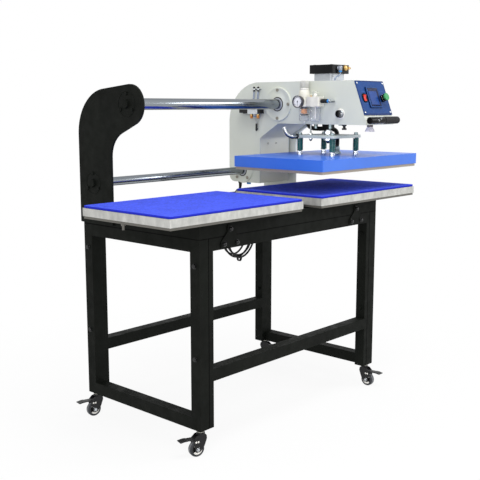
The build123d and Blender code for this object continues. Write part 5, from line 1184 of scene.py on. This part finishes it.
VALVE_Y = 421.0
VALVE_Z = 1068.0
VALVE_HALF = 12.0
port_x = HEAD_LEFT - 16
under = VALVE_Z - VALVE_HALF
body = block(port_x - 12, HEAD_LEFT - 0.02, VALVE_Y - 25.5, VALVE_Y + 25.5, under, VALVE_Z + VALVE_HALF)
piece("valve_body", body, CHROME_SMALL, replaces="valve_block", bevel=0.8, segments=3)
coils = []
for y0, y1, wide, high in ((25.5, 51, 24, 20), (51, 76, 18, 15), (76, 81.5, 9, 9), (-37.5, -25.5, 24, 20)):
    place = move(HEAD_LEFT - 2 - wide / 2, VALVE_Y, VALVE_Z, ALONG_Y)
    coils.append(prism(rounded(wide, high, 3, 5), y0 + 0.02, y1 - 0.02, place))
piece("valve_coils", join(coils), PLASTIC, bevel=0.7, segments=3)
cone = [(0, -17), (3.4, -17), (4.9, -16), (5.4, -14.2), (5.5, -5.2), (5.5, -4.8), (0, -4.8)]
spots = [move(port_x, VALVE_Y + y, under) for y in (-20, 14)]
piece("valve_silencers", join(lathe(cone, 32, spot) for spot in spots), BRONZE)
piece("silencer_nuts", join(hexagon(12, -5, -0.02, spot) for spot in spots), BRASS)
outlet_y = VALVE_Y - 3
nozzle_at = move(port_x, outlet_y, under)
nozzle = lathe([(2.6, -6.4), (3.6, -6.4), (6.6, -0.6), (6.6, -0.02), (2.6, -0.02), (2.6, -6.4)], 36)
piece("valve_nozzle", nozzle, CREAM, nozzle_at)
piece("valve_collar", ring(2.6, 5.5, -9.4, -6.45, 0.7, 36), BLUE_RING, nozzle_at)
boss_x = HEAD_LEFT - 6
boss_z = VALVE_Z - 70
boss_at = move(boss_x, outlet_y, boss_z)
piece("tube_grommet", rod(3.5, 0, 5.95, 0.4, 28), PLASTIC, boss_at @ ALONG_X)
piece("tube_grommet_sleeve", lathe([
    (0, -7), (2.6, -7), (3.6, -6), (4, -4), (4, 8), (3.7, 9), (3.7, 10), (4, 11), (3.8, 18), (3.2, 21.6),
    (2.7, 22), (0, 22),
], 28), PLASTIC, boss_at)
line = centreline([
    (port_x, outlet_y, VALVE_Z - 21), (port_x, outlet_y, VALVE_Z - 28), (boss_x, outlet_y, VALVE_Z - 41),
    (boss_x, outlet_y, boss_z + 22),
], 10)
stations = [(line_length(line) * i / 24, 2.5) for i in range(25)]
piece("hanging_tube", tube(line, stations), KNOB_GREY)
fitting_z = VALVE_Z + 74
dark = []
bright = []
for index, y in enumerate((VALVE_Y - 20, VALVE_Y + 1)):
    free_tube(f"valve_tube_{index}", [
        (port_x, y, VALVE_Z + 12), (port_x - 1, y + 1, VALVE_Z + 30), (port_x - 1, y + 1, VALVE_Z + 52),
        (port_x, y, fitting_z),
    ])
    spot = move(port_x, y, fitting_z)
    dark.append(lathe([(0, 0.05), (3.6, 0.05), (4.4, 0.8), (4.4, 5.4), (3.9, 6), (0, 6)], 28, spot))
    dark.append(lathe([(0, 12.6), (4.1, 12.6), (4.4, 13.2), (4.4, 17.8), (3.4, 18.8), (0, 19)], 28, spot))
    bright.append(rod(3.4, 0, 15.95, 0.3, 28, spot @ move(0, 0, 9.5, ALONG_X)))
    bright.append(lathe([(0, 6.05), (3.6, 6.05), (4.2, 6.6), (4.2, 12), (3.6, 12.55), (0, 12.55)], 28, spot))
piece("tube_fittings", join(dark), PLASTIC)
piece("tube_fitting_bodies", join(bright), CHROME_SMALL)


# Floor, sky and lamps

def background_rays(tree):
    """One where the camera looks, straight, in a mirror or through a clear piece, and zero elsewhere."""
    path = build_node(tree, "LightPath", {}).outputs
    seen = build_node(tree, "Math", {0: path["Is Camera Ray"], 1: path["Is Glossy Ray"]}, operation="MAXIMUM")
    sockets = {0: seen.outputs[0], 1: path["Is Transmission Ray"]}
    return build_node(tree, "Math", sockets, operation="MAXIMUM").outputs[0]


def blend(tree, share, first, second, output):
    mixed = build_node(tree, "MixShader", {"Fac": share, 1: first.outputs[0], 2: second.outputs[0]})
    tree.links.new(mixed.outputs[0], tree.nodes[output].inputs["Surface"])


floor_mesh = bpy.data.meshes.new("floor")
floor_mesh.from_pydata([(-8, -8, 0), (8, -8, 0), (8, 8, 0), (-8, 8, 0)], [], [(0, 1, 2, 3)])
floor = show("floor", floor_mesh)
floor_look = bpy.data.materials.new("floor")
floor_look.use_nodes = True
tree = floor_look.node_tree
tree.nodes.remove(tree.nodes["Principled BSDF"])
diffuse = build_node(tree, "BsdfDiffuse", {"Color": (0.86, 0.86, 0.86, 1)})
glow = build_node(tree, "Emission", {"Color": (1, 1, 1, 1)})
coords = build_node(tree, "TexCoord", {}).outputs["Object"]
reach = build_node(tree, "VectorMath", {0: coords}, operation="LENGTH").outputs["Value"]
fade = build_node(tree, "MapRange", {
    "Value": reach, "From Min": 0.5, "From Max": 1.6, "To Min": 0.9, "To Max": 1.0,
})
share = build_node(tree, "Math", {0: background_rays(tree), 1: fade.outputs["Result"]}, operation="MULTIPLY")
blend(tree, share.outputs[0], diffuse, glow, "Material Output")
floor_mesh.materials.append(floor_look)
floor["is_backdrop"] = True

world = scene.world or bpy.data.worlds.new("world")
scene.world = world
world.use_nodes = True
tree = world.node_tree
dim = tree.nodes["Background"]
dim.inputs["Color"].default_value = (1, 1, 1, 1)
dim.inputs["Strength"].default_value = 0.62
white = build_node(tree, "Background", {"Color": (1, 1, 1, 1), "Strength": 1.0})
blend(tree, background_rays(tree), dim, white, "World Output")

for name, place, target, size, power in (
    ("lamp_above", (-0.4, -1.2, 3.4), (0.1, 0, 0.8), 1.8, 54),
    ("lamp_right", (2.6, -2.6, 2.0), (0.2, 0, 0.9), 1.4, 38),
    ("lamp_left", (-3.0, -1.6, 1.6), (0.2, 0, 0.9), 1.6, 40),
):
    data = bpy.data.lights.new(name, "AREA")
    data.shape = "DISK"
    data.size = size
    data.energy = power
    lamp = show(name, data)
    lamp.location = place
    lamp.rotation_euler = (Vector(target) - Vector(place)).to_track_quat("-Z", "Y").to_euler()

scene.view_settings.view_transform = "Standard"

low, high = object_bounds()
